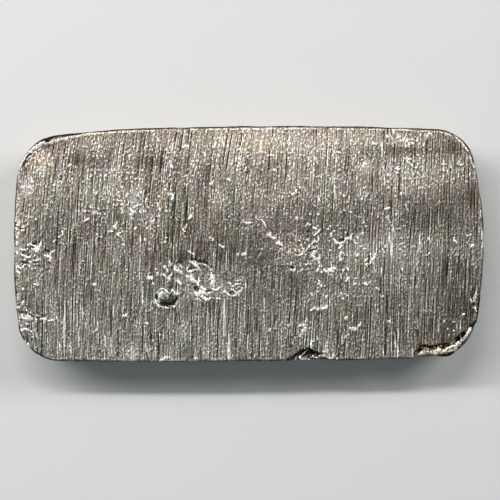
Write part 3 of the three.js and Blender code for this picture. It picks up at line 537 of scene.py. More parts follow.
SCRATCHES = (
    ((-4.2, -9.2, 0.1), (-4.2, -12.0, 0.16), (-4.2, -15.6, 0.17)),
    ((-3.4, -15.3, 0.11), (-3.3, -19.7, 0.15)),
    ((-3.7, -17.0, 0.08), (-3.6, -19.6, 0.1)),
    ((-17.6, -16.9, 0.1), (-17.3, -18.2, 0.12)),
    ((-18.1, -7.5, 0.08), (-18.1, -10.2, 0.08)),
    ((-10.0, -13.9, 0.07), (-10.0, -16.5, 0.07)),
    ((-31.4, -10.8, 0.08), (-31.4, -12.8, 0.13), (-31.5, -14.5, 0.14), (-31.5, -18.5, 0.1)),
    ((-28.4, -11.0, 0.08), (-28.4, -12.5, 0.12)),
    ((-29.0, -14.5, 0.08), (-29.0, -17.6, 0.08)),
    ((-36.7, -13.2, 0.07), (-36.7, -16.2, 0.08)),
    ((-30.4, -16.8, 0.08), (-30.2, -19.6, 0.1)),
    ((-27.8, -12.5, 0.08), (-27.8, -14.2, 0.08)),
    ((-23.1, -10.0, 0.08), (-23.1, -12.4, 0.08)),
    ((-24.5, -15.5, 0.1), (-24.4, -17.5, 0.12)),
    ((-23.5, -16.0, 0.12), (-23.4, -18.5, 0.1)),
    ((-3.8, -1.3, 0.08), (-3.9, -4.3, 0.1)),
    ((-6.0, -1.0, 0.07), (-6.0, -3.8, 0.08)),
    ((7.5, -0.8, 0.1), (8.1, -1.0, 0.1)),
    ((23.9, 2.0, 0.08), (23.9, 0.9, 0.14), (24.0, 0.2, 0.12)),
    ((24.2, 0.2, 0.08), (24.2, -0.7, 0.15), (24.3, -2.2, 0.1)),
    ((24.6, 3.1, 0.07), (24.6, 2.1, 0.12)),
    ((23.7, 4.9, 0.12), (23.7, 4.1, 0.1)),
    ((26.7, 6.9, 0.12), (26.8, 5.8, 0.1)),
    ((26.6, 9.8, 0.08), (26.7, 8.1, 0.1)),
    ((29.0, 1.7, 0.12), (29.2, -1.3, 0.08)),
    ((22.6, -4.0, 0.12), (22.4, -5.6, 0.1)),
    ((23.0, 12.0, 0.08), (23.1, 10.0, 0.12)),
    ((2.0, 17.5, 0.12), (1.9, 15.5, 0.12)),
    ((14.5, 12.0, 0.06), (14.4, 10.0, 0.1), (14.8, 7.8, 0.1)),
    ((13.2, -16.0, 0.06), (13.2, -18.4, 0.12)),
    ((15.8, -15.5, 0.08), (15.9, -17.0, 0.12)),
    ((4.6, -13.0, 0.08), (4.5, -14.5, 0.1)),
    ((25.3, -14.5, 0.12), (25.4, -16.0, 0.1)),
    ((24.8, -15.0, 0.08), (24.9, -17.5, 0.1)),
    ((22.8, -17.8, 0.12), (22.8, -18.9, 0.12)),
    ((25.3, -17.5, 0.12), (25.3, -19.2, 0.1)),
    ((39.7, 2.3, 0.12), (39.8, 1.0, 0.16), (39.8, -0.6, 0.1)),
    ((1.1, -6.5, 0.08), (2.3, -6.4, 0.12)),
    ((2.6, -9.3, 0.1), (2.6, -11.0, 0.1)),
    ((-2.1, -3.5, 0.06), (-2.15, -4.8, 0.06)),
    ((-36.1, -15.2, 0.14), (-36.0, -15.9, 0.12), (-36.0, -18.0, 0.06)),
    ((-34.65, -14.3, 0.07), (-34.6, -14.9, 0.07)),
    ((-31.45, -13.8, 0.12), (-31.4, -14.3, 0.12), (-31.5, -15.2, 0.1)),
    ((-32.25, -16.8, 0.1), (-32.2, -18.0, 0.1)),
    ((-30.7, -9.9, 0.08), (-30.7, -10.3, 0.08)),
    ((14.6, 9.1, 0.1), (14.7, 7.7, 0.1)),
    ((14.85, 6.75, 0.08), (14.9, 5.9, 0.06)),
    ((18.3, 4.9, 0.07), (18.3, 4.3, 0.07)),
    ((-18.5, 1.6, 0.1), (-18.5, 0.9, 0.09), (-18.45, 0.1, 0.1)),
    ((-26.1, 1.0, 0.09), (-26.05, -0.2, 0.1)),
    ((33.1, 14.5, 0.08), (33.15, 12.4, 0.1)),
    ((34.7, 15.2, 0.1), (34.8, 14.0, 0.1)),
    ((34.9, 18.5, 0.06), (35.5, 18.0, 0.09), (36.1, 17.4, 0.09), (36.6, 16.8, 0.1), (37.1, 16.1, 0.09)),
    ((37.4, 15.1, 0.1), (37.7, 14.5, 0.1), (37.9, 14.0, 0.08), (38.3, 13.0, 0.09)),
    ((39.0, 10.0, 0.08), (39.2, 9.4, 0.1), (39.3, 8.6, 0.1), (39.4, 7.8, 0.08)),
    ((9.4, -18.4, 0.05), (8.9, -18.9, 0.07), (8.5, -19.3, 0.08), (7.8, -19.7, 0.1)),
    ((32.25, -12.8, 0.1), (32.25, -15.0, 0.1)),
    ((35.4, -13.6, 0.1), (35.4, -14.4, 0.09)),
    ((36.0, -13.6, 0.08), (36.0, -14.4, 0.1)),
    ((27.85, -17.8, 0.12), (27.85, -19.2, 0.12)),
    ((28.75, -13.0, 0.1), (28.75, -14.5, 0.08)),
    ((15.2, -17.0, 0.1), (15.25, -17.5, 0.1)),
    ((7.4, -16.6, 0.1), (7.4, -17.0, 0.12)),
    ((22.5, 17.3, 0.1), (22.6, 16.5, 0.12), (22.75, 15.6, 0.12), (22.6, 14.8, 0.08)),
)

CUTS = (
    ((-32.8, 14.2, 0.08), (-33.0, 11.8, 0.14), (-33.4, 9.7, 0.08)),
    ((-30.6, 10.2, 0.08), (-30.9, 8.4, 0.16)),
    ((-29.1, 15.4, 0.12), (-29.3, 13.2, 0.1)),
    ((-31.2, 16.8, 0.08), (-31.4, 14.3, 0.12)),
    ((-26.3, 16.0, 0.08), (-26.4, 13.0, 0.12)),
    ((-18.2, 18.8, 0.08), (-18.6, 16.0, 0.14), (-19.0, 12.0, 0.12), (-19.2, 9.0, 0.06)),
    ((-16.3, 14.0, 0.08), (-16.6, 11.0, 0.12), (-17.0, 8.5, 0.1)),
    ((-17.2, 13.0, 0.06), (-17.6, 7.5, 0.14)),
    ((-12.2, 14.6, 0.08), (-12.3, 12.0, 0.16), (-12.7, 8.0, 0.12), (-13.1, 5.0, 0.08)),
    ((-10.2, 15.0, 0.08), (-10.3, 12.5, 0.08), (-10.9, 9.5, 0.12), (-11.2, 7.0, 0.08)),
    ((-9.7, 19.0, 0.12), (-9.9, 17.8, 0.14), (-10.1, 16.2, 0.08)),
    ((-7.2, 13.8, 0.06), (-7.3, 10.0, 0.12), (-7.7, 6.5, 0.08)),
    ((-4.9, 14.5, 0.06), (-4.9, 11.8, 0.12), (-5.0, 9.5, 0.06)),
    ((-5.8, 14.0, 0.06), (-6.0, 9.0, 0.12), (-6.2, 7.0, 0.08)),
    ((7.0, 16.2, 0.1), (6.7, 14.3, 0.2), (6.4, 12.2, 0.14), (6.3, 11.1, 0.1)),
    ((8.5, 9.2, 0.1), (8.2, 6.5, 0.12)),
    ((4.7, 14.0, 0.12), (4.4, 13.0, 0.14)),
    ((3.5, 13.5, 0.14), (3.5, 12.5, 0.1)),
    ((4.0, 19.5, 0.1), (4.1, 18.4, 0.14)),
    ((15.4, 16.1, 0.12), (15.4, 14.4, 0.08)),
    ((20.0, 16.0, 0.12), (20.1, 15.0, 0.14)),
    ((17.7, 12.0, 0.06), (17.3, 8.0, 0.1), (17.2, 6.0, 0.06)),
    ((26.5, 15.0, 0.1), (26.4, 10.0, 0.1), (26.5, 7.0, 0.06)),
    ((33.2, 10.0, 0.14), (33.2, 8.4, 0.1)),
    ((-31.3, 5.8, 0.1), (-31.6, 4.3, 0.16), (-31.8, 3.3, 0.08)),
    ((-29.6, 2.4, 0.08), (-29.7, 0.0, 0.14), (-29.9, -3.0, 0.16), (-29.9, -7.0, 0.08)),
    ((-29.4, 0.6, 0.06), (-29.5, -2.5, 0.1), (-29.4, -4.5, 0.06)),
    ((-31.8, -2.6, 0.1), (-31.8, -5.4, 0.12)),
    ((-25.5, -2.0, 0.1), (-25.6, -3.6, 0.12)),
    ((-10.5, 6.6, 0.12), (-10.8, 4.5, 0.22), (-11.0, 3.1, 0.18)),
    ((-12.6, 7.0, 0.1), (-12.9, 4.0, 0.12), (-13.1, 0.5, 0.12), (-13.0, -1.5, 0.06)),
    ((-13.7, 4.0, 0.06), (-13.8, 1.5, 0.14), (-13.9, -2.5, 0.08)),
    ((-19.5, 5.0, 0.06), (-19.9, 0.5, 0.12), (-20.0, -3.0, 0.08)),
    ((-15.3, 0.5, 0.08), (-15.0, -3.0, 0.12)),
    ((-32.5, -9.0, 0.08), (-32.5, -12.4, 0.14)),
    ((-26.9, -7.5, 0.1), (-26.9, -9.8, 0.14)),
    ((-27.1, -11.3, 0.08), (-27.1, -14.2, 0.12)),
    ((-24.9, -9.8, 0.12), (-24.9, -12.6, 0.08)),
    ((-22.4, -14.8, 0.1), (-22.2, -17.0, 0.14), (-22.3, -19.4, 0.12)),
    ((-30.7, -14.6, 0.08), (-30.8, -16.6, 0.12)),
    ((-18.1, -11.4, 0.08), (-18.1, -15.0, 0.14), (-18.1, -18.6, 0.12)),
    ((-14.5, -12.0, 0.08), (-14.5, -15.4, 0.12)),
    ((-11.8, -10.9, 0.08), (-11.8, -14.2, 0.12)),
    ((-6.6, -10.0, 0.1), (-6.6, -11.5, 0.16), (-6.6, -12.9, 0.1)),
    ((-15.4, -15.0, 0.08), (-15.4, -17.8, 0.18), (-15.5, -19.7, 0.14)),
    ((-16.8, -11.5, 0.06), (-16.8, -16.2, 0.1)),
    ((-4.9, -10.8, 0.08), (-4.9, -12.9, 0.12)),
    ((7.1, -14.2, 0.08), (7.1, -18.2, 0.12)),
    ((6.8, -11.6, 0.08), (6.7, -13.4, 0.12)),
    ((4.4, -12.1, 0.1), (4.3, -14.2, 0.08)),
    ((15.1, -13.2, 0.06), (15.1, -16.5, 0.16), (15.0, -19.3, 0.18)),
    ((16.1, -16.8, 0.1), (16.1, -19.2, 0.14)),
    ((23.2, -13.6, 0.08), (23.2, -16.4, 0.14), (23.1, -18.8, 0.14)),
    ((28.5, -5.2, 0.08), (28.4, -7.0, 0.12)),
    ((28.6, -13.4, 0.08), (28.6, -15.6, 0.14)),
    ((25.1, -15.0, 0.12), (25.1, -16.8, 0.12)),
    ((30.0, -13.8, 0.08), (30.0, -16.2, 0.14)),
    ((26.3, -7.2, 0.08), (26.4, -9.6, 0.12)),
    ((33.9, -1.0, 0.06), (33.8, -3.6, 0.12), (33.7, -5.8, 0.06)),
    ((38.2, -7.6, 0.12), (38.1, -9.4, 0.16), (38.2, -10.5, 0.12)),
    ((-22.1, 4.9, 0.08), (-22.1, 4.0, 0.1)),
    ((-17.7, 8.7, 0.08), (-17.8, 6.8, 0.12), (-17.75, 6.0, 0.1)),
    (
        (-17.8, 4.2, 0.08), (-17.9, 2.6, 0.12), (-18.1, 1.0, 0.12), (-18.15, 0.2, 0.1), (-17.6, -0.5, 0.08),
        (-17.3, -1.8, 0.14), (-17.3, -4.6, 0.08),
    ),
    ((-24.6, 6.3, 0.1), (-24.4, 5.2, 0.08)),
    ((-24.5, 2.1, 0.08), (-24.45, 1.2, 0.08)),
    ((-25.3, 5.75, 0.1), (-25.3, 5.4, 0.08)),
    ((22.9, 18.9, 0.1), (22.9, 17.5, 0.08)),
    ((14.9, -17.8, 0.1), (14.85, -18.8, 0.12)),
)

CREVICES = (
    ((-9.9, -2.5, 0.1), (-9.25, -2.6, 0.16), (-9.0, -2.7, 0.1)),
    (
        (-8.7, -3.0, 0.1), (-8.1, -3.05, 0.15), (-7.5, -3.15, 0.15), (-7.1, -3.35, 0.1),
    ),
    ((-12.4, -3.3, 0.06), (-11.9, -3.25, 0.1), (-11.4, -3.3, 0.08)),
    ((-10.4, -4.3, 0.12), (-9.8, -4.05, 0.16), (-9.25, -4.1, 0.14)),
    ((-8.75, -5.8, 0.1), (-8.75, -6.2, 0.12)),
    ((-8.45, -6.75, 0.1), (-7.8, -6.9, 0.14)),
    ((-9.35, -7.4, 0.16), (-8.8, -7.35, 0.16), (-8.7, -7.7, 0.16), (-9.2, -7.75, 0.14)),
    ((-7.2, -8.05, 0.1), (-6.8, -7.95, 0.16)),
    ((-6.6, -7.8, 0.12), (-6.1, -8.05, 0.08)),
    ((-6.3, -8.85, 0.08), (-5.85, -8.85, 0.06)),
    ((-3.4, -8.35, 0.1), (-2.9, -8.15, 0.16), (-2.55, -8.3, 0.12)),
    ((-13.0, -5.0, 0.1), (-13.0, -5.8, 0.14), (-13.05, -6.9, 0.16), (-13.15, -7.4, 0.12)),
    ((-15.7, -8.75, 0.16), (-15.75, -9.2, 0.16)),
    (
        (-14.9, -10.05, 0.12), (-14.35, -10.1, 0.18), (-13.8, -10.25, 0.22), (-13.2, -10.1, 0.22),
        (-12.8, -10.0, 0.22), (-12.55, -9.55, 0.18), (-12.4, -9.1, 0.1),
    ),
    ((-13.2, -8.45, 0.12), (-13.3, -8.9, 0.14)),
    ((-12.9, -4.0, 0.12), (-12.9, -4.5, 0.12)),
    ((-15.35, -6.5, 0.1), (-15.4, -7.6, 0.1)),
    ((-37.85, -0.3, 0.1), (-38.0, -0.6, 0.1)),
    ((-37.25, -0.3, 0.12), (-36.85, -0.55, 0.12), (-36.5, -0.6, 0.1)),
    ((-36.85, 0.1, 0.1), (-36.3, 0.05, 0.12), (-36.1, 0.45, 0.14), (-35.7, 0.4, 0.14)),
    ((-38.5, -1.4, 0.12), (-38.4, -1.65, 0.12)),
    ((-37.7, -1.8, 0.14), (-37.4, -1.85, 0.1)),
    ((-38.6, -3.1, 0.12), (-37.7, -3.2, 0.12)),
    ((-36.5, -3.1, 0.12), (-35.9, -3.1, 0.12)),
    ((-34.6, -1.15, 0.16), (-34.1, -1.2, 0.16)),
    ((-38.9, -11.65, 0.2), (-38.4, -11.65, 0.16)),
    ((-37.9, -11.5, 0.12), (-38.0, -11.95, 0.12)),
    ((-37.75, -15.2, 0.12), (-37.7, -16.7, 0.12)),
    ((-35.0, -12.2, 0.16), (-34.7, -12.35, 0.12)),
    ((-36.25, -16.1, 0.1), (-36.2, -17.3, 0.12)),
    ((10.5, -0.98, 0.1), (11.4, -0.95, 0.08)),
    ((7.2, -3.9, 0.16), (7.4, -4.0, 0.14)),
    ((16.8, 2.2, 0.08), (16.8, 1.45, 0.08)),
    ((15.2, 0.75, 0.14), (15.95, 0.75, 0.14)),
    (
        (-37.1, 16.5, 0.1), (-36.3, 17.2, 0.14), (-34.9, 18.0, 0.18), (-34.1, 18.2, 0.34),
        (-33.5, 18.4, 0.22), (-32.2, 18.65, 0.2), (-30.5, 18.85, 0.14), (-28.8, 19.0, 0.1),
        (-27.1, 19.2, 0.07),
    ),
    ((-34.4, 18.0, 0.26), (-34.25, 17.5, 0.12)),
    ((-38.35, 13.4, 0.08), (-37.9, 14.4, 0.1), (-37.3, 15.35, 0.14)),
    (
        (29.3, -17.3, 0.14), (30.3, -17.45, 0.16), (31.3, -17.42, 0.14), (32.2, -17.2, 0.13),
        (33.2, -17.05, 0.13), (34.2, -16.84, 0.12), (35.3, -16.05, 0.12), (36.3, -15.22, 0.1),
        (36.8, -14.8, 0.06),
    ),
    ((28.3, -18.5, 0.2), (28.9, -18.0, 0.14), (29.2, -17.5, 0.12)),
    ((32.9, -17.65, 0.1), (33.2, -17.5, 0.12), (33.4, -17.2, 0.08)),
    ((36.35, -15.75, 0.09), (36.9, -16.0, 0.09)),
    ((35.6, -16.35, 0.09), (36.1, -16.75, 0.09)),
    ((34.8, -16.95, 0.07), (35.2, -17.3, 0.08)),
    ((32.3, -18.95, 0.12), (33.0, -18.9, 0.2), (33.5, -18.8, 0.14)),
    ((34.0, -18.75, 0.16), (34.6, -18.5, 0.16)),
    ((6.5, -19.7, 0.12), (7.5, -19.2, 0.24), (8.4, -18.7, 0.3), (9.2, -18.1, 0.26)),
    ((10.8, -19.65, 0.1), (11.4, -19.7, 0.08)),
    ((11.9, -19.6, 0.1), (12.7, -19.55, 0.12)),
)
PINHOLES = (
    (-13.5, -4.9, 0.14), (-15.7, -7.8, 0.12), (-13.6, -7.5, 0.1), (-38.95, 2.65, 0.12),
    (-37.35, -0.75, 0.14), (-38.2, -1.3, 0.1), (-35.8, -3.75, 0.14), (-38.0, -3.85, 0.12),
    (-39.1, -10.3, 0.16), (-38.6, -10.95, 0.12), (-37.7, -11.1, 0.1), (-37.0, -12.25, 0.16),
    (-38.9, -12.9, 0.1), (-37.65, -14.05, 0.2), (-37.05, -16.25, 0.1), (10.05, 2.1, 0.16),
    (16.25, 2.45, 0.1), (14.05, 2.4, 0.1), (13.55, -3.85, 0.14), (34.3, -17.9, 0.1), (36.9, -15.3, 0.08),
)


def dots(spots):
    """Marks that are hardly longer than they are wide."""
    return tuple(((x, y, half_width), (x + 0.06, y, half_width)) for x, y, half_width in spots)


TEARS = LEFT_END_TEARS + UPPER_TEARS + MIDDLE_TEARS + HOLLOW_TEARS + PIT_TEARS + LOWER_TEARS + LAP_TEARS
TEARS += dots(BEADS)
HOLLOWS = CREVICES + dots(PINHOLES)
MARKS = {"tear": TEARS, "scratch": SCRATCHES, "cut": CUTS, "crevice": HOLLOWS}

# Places where the face is brighter or darker: partly where hands and cloths keep it bright and where it is
# tarnished, partly painted light, a brighter band along the back nearer the lamp and a painted highlight
# along the front rim. Each has its centre and its half sizes along X and Y, in millimetres, and how much
# brighter it is than the rest.
SHEEN_PLACES = (
    (-14.0, 17.0, 26.0, 3.4, 0.07),
    (26.0, 15.0, 14.0, 3.0, 0.02),
    (-30.0, 9.8, 7.0, 3.5, 0.065),
    (17.0, 3.0, 6.0, 3.0, -0.045),
    (-33.0, -9.0, 7.0, 4.0, 0.03),
    (13.7, -3.0, 4.0, 3.0, -0.035),
    (-6.7, -9.8, 3.5, 1.8, -0.03),
    (20.4, 9.4, 4.0, 3.0, 0.03),
    (-6.7, -15.3, 4.5, 3.5, 0.05),
    (0.0, 10.0, 4.5, 3.0, -0.04),
    (3.5, 2.5, 15.0, 3.5, -0.045),
    (-11.0, 2.5, 6.0, 3.5, -0.03),
    (31.0, -16.0, 6.0, 3.0, -0.045),
    (28.0, -3.0, 5.0, 3.0, -0.03),
    # A brighter band along the back: painted light together with wear.
    (4.0, 17.6, 12.0, 3.4, 0.13),
    (22.0, 18.0, 10.0, 1.8, 0.13),
    (-38.0, 9.5, 1.4, 2.2, 0.24),
    (-35.5, 13.6, 2.8, 2.2, 0.13),
    # Painted highlight along the front rim.
    (-19.0, -18.6, 4.0, 1.8, 0.13),
    (-13.0, -18.8, 3.0, 1.6, 0.05),
    (-37.5, 5.0, 2.5, 2.5, 0.05),
    (-22.5, 11.0, 5.0, 4.5, 0.08),
    (-19.0, 5.5, 2.4, 3.0, 0.08),
    (-2.0, 10.5, 12.0, 4.5, 0.07),
    (12.5, 12.5, 8.0, 4.0, 0.06),
    (20.0, 13.0, 1.2, 1.4, 0.14),
    (27.5, 12.0, 5.0, 3.2, 0.12),
    (22.5, -1.0, 9.0, 3.4, 0.1),
    (-8.0, -7.6, 3.0, 1.8, 0.06),
    (-28.0, -14.5, 9.0, 4.0, 0.03),
    (33.0, 5.0, 9.0, 3.6, -0.08),
    (38.0, 8.0, 1.6, 2.6, -0.12),
    (26.0, 16.0, 4.5, 0.9, -0.12),
    (34.8, 16.4, 1.8, 1.6, -0.12),
    (-35.0, 16.8, 1.8, 0.8, -0.12),
    (-16.5, 14.2, 3.5, 1.6, -0.1),
    (-29.0, 14.2, 4.0, 1.2, -0.08),
    (-34.0, 2.0, 3.5, 2.2, -0.05),
    (-3.0, -1.5, 8.0, 3.0, -0.09),
    (-12.0, -2.2, 4.0, 1.4, -0.1),
    (4.0, -7.0, 6.0, 3.5, -0.06),
    (-30.0, -8.0, 5.0, 3.0, -0.03),
    (35.5, -8.5, 4.0, 6.0, -0.12),
    (20.0, -13.0, 5.0, 4.0, -0.05),
    (33.0, -13.5, 4.0, 3.0, -0.08),
    (-38.0, -9.5, 1.6, 2.0, -0.1),
    (11.5, -12.5, 1.4, 1.4, -0.06),
)
# Where the face is worn smooth, so that scratches show instead of the file's furrows, and how smooth.
SMOOTH_PLACES = (
    (3.0, 0.5, 10.0, 7.0, 0.9),
    (12.5, -4.0, 8.0, 9.0, 0.7),
    (-5.0, -7.0, 6.0, 3.5, 0.6),
    (-37.0, -2.0, 3.0, 5.0, 0.7),
    (-38.4, -9.0, 1.8, 6.0, 0.9),
)
# Where the file bit harder, so that light and dark lie further apart.
LIVELY_PLACES = (
    (-14.0, 16.0, 28.0, 4.0, 0.2),
    (-38.0, 10.0, 3.0, 8.0, 0.25),
    (-14.0, 8.0, 5.0, 5.0, 0.15),
    (-8.0, -8.0, 8.0, 4.0, 0.2),
)
# Where the metal looks warmer, and where it looks colder.
WARM_PLACES = (
    (24.0, 4.0, 16.0, 12.0, -0.2),
    (-28.0, 2.0, 8.0, 10.0, -0.15),
    (4.0, -7.0, 10.0, 6.0, -0.15),
    (33.0, -17.0, 8.0, 3.0, 0.2),
)
# Where the metal looks greener, and where it looks more purple.
GREEN_PLACES = (
    (-33.0, 12.0, 8.0, 6.0, -0.06),
    (5.0, 18.0, 36.0, 4.0, -0.03),
    (3.5, 1.5, 8.0, 8.0, -0.19),
    (-24.0, 5.0, 14.0, 7.0, 0.05),
    (-34.0, -9.0, 5.0, 4.0, 0.06),
    (-6.5, -3.0, 4.0, 3.0, -0.08),
    (13.7, -3.0, 4.0, 3.0, -0.1),
    (16.5, -12.0, 3.0, 3.0, 0.15),
    (30.0, -8.0, 6.0, 5.0, -0.06),
    (33.5, -14.0, 3.0, 2.5, 0.1),
    (22.0, 5.0, 8.0, 4.0, -0.08),
    (-35.5, -3.0, 3.0, 4.0, -0.12),
    (9.5, -13.5, 8.0, 3.5, 0.14),
    (-10.5, -16.0, 5.0, 4.0, 0.12),
    (-14.5, -8.5, 3.0, 2.5, 0.2),
    (-26.0, 9.0, 6.0, 5.0, 0.08),
    (-35.0, 17.0, 2.0, 1.2, 0.25),
    (10.2, -18.6, 2.5, 1.0, 0.2),
)
# The broad hollow and the knob in the pit, which the file reached into, and how far it did so.
SHALLOW_PLACES = (
    (-7.3, -6.2, 8.0, 4.6, 1.6),
    (-14.8, -8.5, 1.5, 1.2, 1.2),
)
# How much brighter or darker the metal is that the file didn't reach: painted shade in the notch, the pit's
# crescent, the lap's crack and the chipped corner, darker and lighter patches on the lap's tongue, and
# lighter on the knob.
RAW_PLACES = (
    (10.3, -18.6, 3.0, 1.1, -0.3),
    (-13.4, -10.0, 1.6, 0.8, -0.25),
    (-15.0, -8.4, 1.2, 1.0, 0.16),
    (35.0, -16.9, 1.5, 0.55, 0.42),
    (31.5, -17.3, 4.0, 0.5, -0.25),
    (34.6, -17.6, 1.4, 0.8, -0.06),
    (36.2, -16.4, 1.2, 0.8, -0.18),
    (30.4, -18.0, 1.6, 0.5, -0.1),
    (-34.4, 18.3, 1.7, 0.95, -0.34),
)
# Where the rim is turned down, so that its outer part looks dark from above, with the painted shade spread
# wider.
SHADE_PLACES = (
    (-41.0, 0.0, 3.4, 14.0, 2.0),
    (-38.0, -17.0, 3.4, 3.4, 1.5),
    (39.0, -13.5, 3.0, 6.0, 1.5),
    (36.0, -18.5, 2.5, 2.0, 1.5),
)
# Where the file left the most burr on the rim, and where the rim's painted highlight runs most unbroken.
BURR_AND_HIGHLIGHT_PLACES = (
    (-36.0, 15.5, 4.0, 4.0, 0.3),
    (-26.0, 19.2, 7.0, 1.5, 0.2),
    (-39.0, 8.0, 2.0, 5.0, 0.15),
)
# Where the rim stands further forward or further back than the mould's plain arcs.
EDGE_PLACES = (
    (-32.0, 19.8, 4.0, 2.4, -0.42),
    (5.0, 20.2, 30.0, 2.6, 0.13),
    (-17.0, 20.2, 8.0, 2.6, 0.08),
    (-16.5, -20.2, 10.0, 2.6, -0.13),
    (22.0, -20.2, 5.0, 2.6, -0.1),
)
# Where the rim stands further to the right or, below 0, to the left.
END_PLACES = (
    (-40.3, -8.0, 2.6, 5.0, -0.13),
    (-40.3, 8.0, 2.6, 5.0, -0.07),
)
# Where sheltered metal has gone golden: the cold lap, the chipped corner and the left-hand rim.
GOLDEN_PLACES = (
    (30.5, -18.2, 2.6, 1.0, 0.7),
    (34.0, -17.4, 2.4, 1.2, 0.6),
    (36.6, -15.8, 1.4, 1.6, 0.4),
    (-35.2, 14.3, 2.0, 1.4, 0.28),
    (-27.5, 18.4, 4.0, 0.9, 0.3),
    (1.0, 17.0, 6.0, 1.8, 0.25),
)


# ---- Pattern nodes ----------------------------------------------------------


class Fields:
    """Writes pattern nodes into a geometry or material tree. Positions are in millimetres."""

    def __init__(self, tree, metres):
        self.tree = tree
        self.place = self.vector("SCALE", metres, Scale=1 / MM)

    def node(self, kind, **settings):
        made = self.tree.nodes.new(kind)
        for name, value in settings.items():
            setattr(made, name, value)
        return made

    def feed(self, socket, value):
        if isinstance(value, bpy.types.NodeSocket):
            self.tree.links.new(value, socket)
        else:
            socket.default_value = value

    def feed_all(self, made, values):
        """Feeds a node's inputs in their order or, from a dictionary, by their names or numbers."""
        for key, value in values.items() if isinstance(values, dict) else enumerate(values):
            self.feed(made.inputs[key], value)

    def maths(self, operation, *values):
        made = self.node("ShaderNodeMath", operation=operation)
        self.feed_all(made, values)
        return made.outputs[0]

    def vector(self, operation, *values, **named):
        made = self.node("ShaderNodeVectorMath", operation=operation)
        self.feed_all(made, values)
        self.feed_all(made, named)
        return made.outputs["Value" if operation == "LENGTH" else "Vector"]

    def point(self, *axes):
        made = self.node("ShaderNodeCombineXYZ")
        self.feed_all(made, axes)
        return made.outputs[0]

    def axis(self, name, vector=None):
        made = self.node("ShaderNodeSeparateXYZ")
        self.feed(made.inputs[0], vector or self.place)
        return made.outputs[name]

    def total(self, *values):
        summed = values[0]
        for value in values[1:]:
            summed = self.maths("ADD", summed, value)
        return summed

    def times(self, *values):
        product = values[0]
        for value in values[1:]:
            product = self.maths("MULTIPLY", product, value)
        return product

    def rest(self, share):
        """What a share leaves of 1."""
        return self.maths("SUBTRACT", 1.0, share)

    def magnitude(self, value):
        return self.maths("ABSOLUTE", value)

    def rise(self, value, low, high):
        """0 below low, 1 above high and a smooth step between; falls where low is the greater."""
        made = self.node("ShaderNodeMapRange", interpolation_type="SMOOTHSTEP")
        self.feed_all(made, (value, low, high))
        return made.outputs["Result"]

    def noise(self, per_mm, seed, detail=2.0, flat=True, place=None, output=0):
        """Noise from 0 to 1, so many features a millimetre along X, Y and Z. Output 1 is three noises."""
        offset = Vector((seed, seed * 0.37, 0))
        spot = self.vector("MULTIPLY_ADD", place or self.place, Vector(per_mm), offset)
        made = self.node("ShaderNodeTexNoise", noise_dimensions="2D" if flat else "3D")
        self.feed_all(made, {"Vector": spot, "Scale": 1, "Detail": detail})
        return made.outputs[output]

    def ramp(self, value, stops):
        made = self.node("ShaderNodeValToRGB")
        self.feed(made.inputs[0], value)
        points = made.color_ramp.elements
        while len(points) < len(stops):
            points.new(1.0)
        for point, (place, shade) in zip(points, stops):
            point.position = place
            point.color = rgba(shade)
        return made.outputs["Color"]

    def blend(self, share, low, high, kind="MIX"):
        made = self.node("ShaderNodeMix", data_type="RGBA", blend_type=kind)
        self.feed_all(made, {0: share, 6: low, 7: high})
        return made.outputs[2]

    def dye(self, shade, tint):
        """One colour times another."""
        return self.blend(1.0, shade, tint, kind="MULTIPLY")

    def places(self, spots):
        """The sum of soft patches, each with a centre, half sizes and a strength."""
        patches = []
        for x, y, half_x, half_y, strength in spots:
            off = self.vector("SUBTRACT", self.place, Vector((x, y, 0)))
            reach = self.vector("LENGTH", self.vector("MULTIPLY", off, Vector((1 / half_x, 1 / half_y, 0))))
            patches.append(self.times(self.rise(reach, 1.6, 0.0), strength))
        return self.total(*patches)

    def zone(self, spots):
        """Soft patches as a share, which is 1 where they add up to more."""
        return self.maths("MINIMUM", self.places(spots), 1.0)

    def attribute(self, name):
        return self.node("ShaderNodeAttribute", attribute_name=name).outputs["Fac"]


# ---- Patterns that the relief and the finish share --------------------------


def file_path(fields):
    """Straightens the file's strokes, which lean to the right towards the back of the left-hand half."""
    x, y = fields.axis("X"), fields.axis("Y")
    back = fields.maths("MAXIMUM", y, 0.0)
    swing = fields.times(back, back, fields.rise(x, 12.0, -8.0), 0.0032)
    wander = fields.times(fields.noise((0.09, 0.05, 0), 1.7, detail=1), 0.8)
    across = fields.maths("SUBTRACT", x, fields.total(fields.times(y, 0.04), swing, wander))
    return fields.point(across, y)


def file_lines(fields, path, per_mm, length, seed, width, share):
    """Thin straight lines along the file's path, so many a millimetre and of about this length and width.

    A line is 1, and the ridge that the metal threw up beside it is -0.5.
    """
    across = fields.total(fields.times(fields.axis("X", path), per_mm), seed)
    column = fields.maths("FLOOR", across)
    luck = fields.node("ShaderNodeTexWhiteNoise", noise_dimensions="1D")
    fields.feed(luck.inputs["W"], column)
    middle = fields.total(fields.times(luck.outputs["Value"], 0.7), 0.15)
    aside = fields.maths("SUBTRACT", fields.maths("FRACT", across), middle)
    reach = width * per_mm
    line = fields.rise(fields.magnitude(aside), reach, reach * 0.3)
    ridge = fields.rise(fields.magnitude(fields.total(aside, -reach * 1.6)), reach, reach * 0.3)
    strip = fields.point(fields.times(column, 7.31), fields.axis("Y", path))
    shown = fields.noise((1, 1 / length, 0), seed, detail=1, place=strip)
    profile = fields.total(line, fields.times(ridge, -0.5))
    return fields.times(profile, fields.rise(shown, 0.6 - share, 0.66 - share))


def scores(fields, path):
    """1 on the dark scores that stray teeth dragged along the face."""
    return file_lines(fields, path, 0.6, 7.0, 41.3, 0.13, 0.1)


def burrs(fields, path):
    """1 on the flecks that the file tore up between its furrows."""
    return fields.rise(fields.noise((3.2, 2.0, 0), 71.1, detail=3, place=path), 0.55, 0.66)


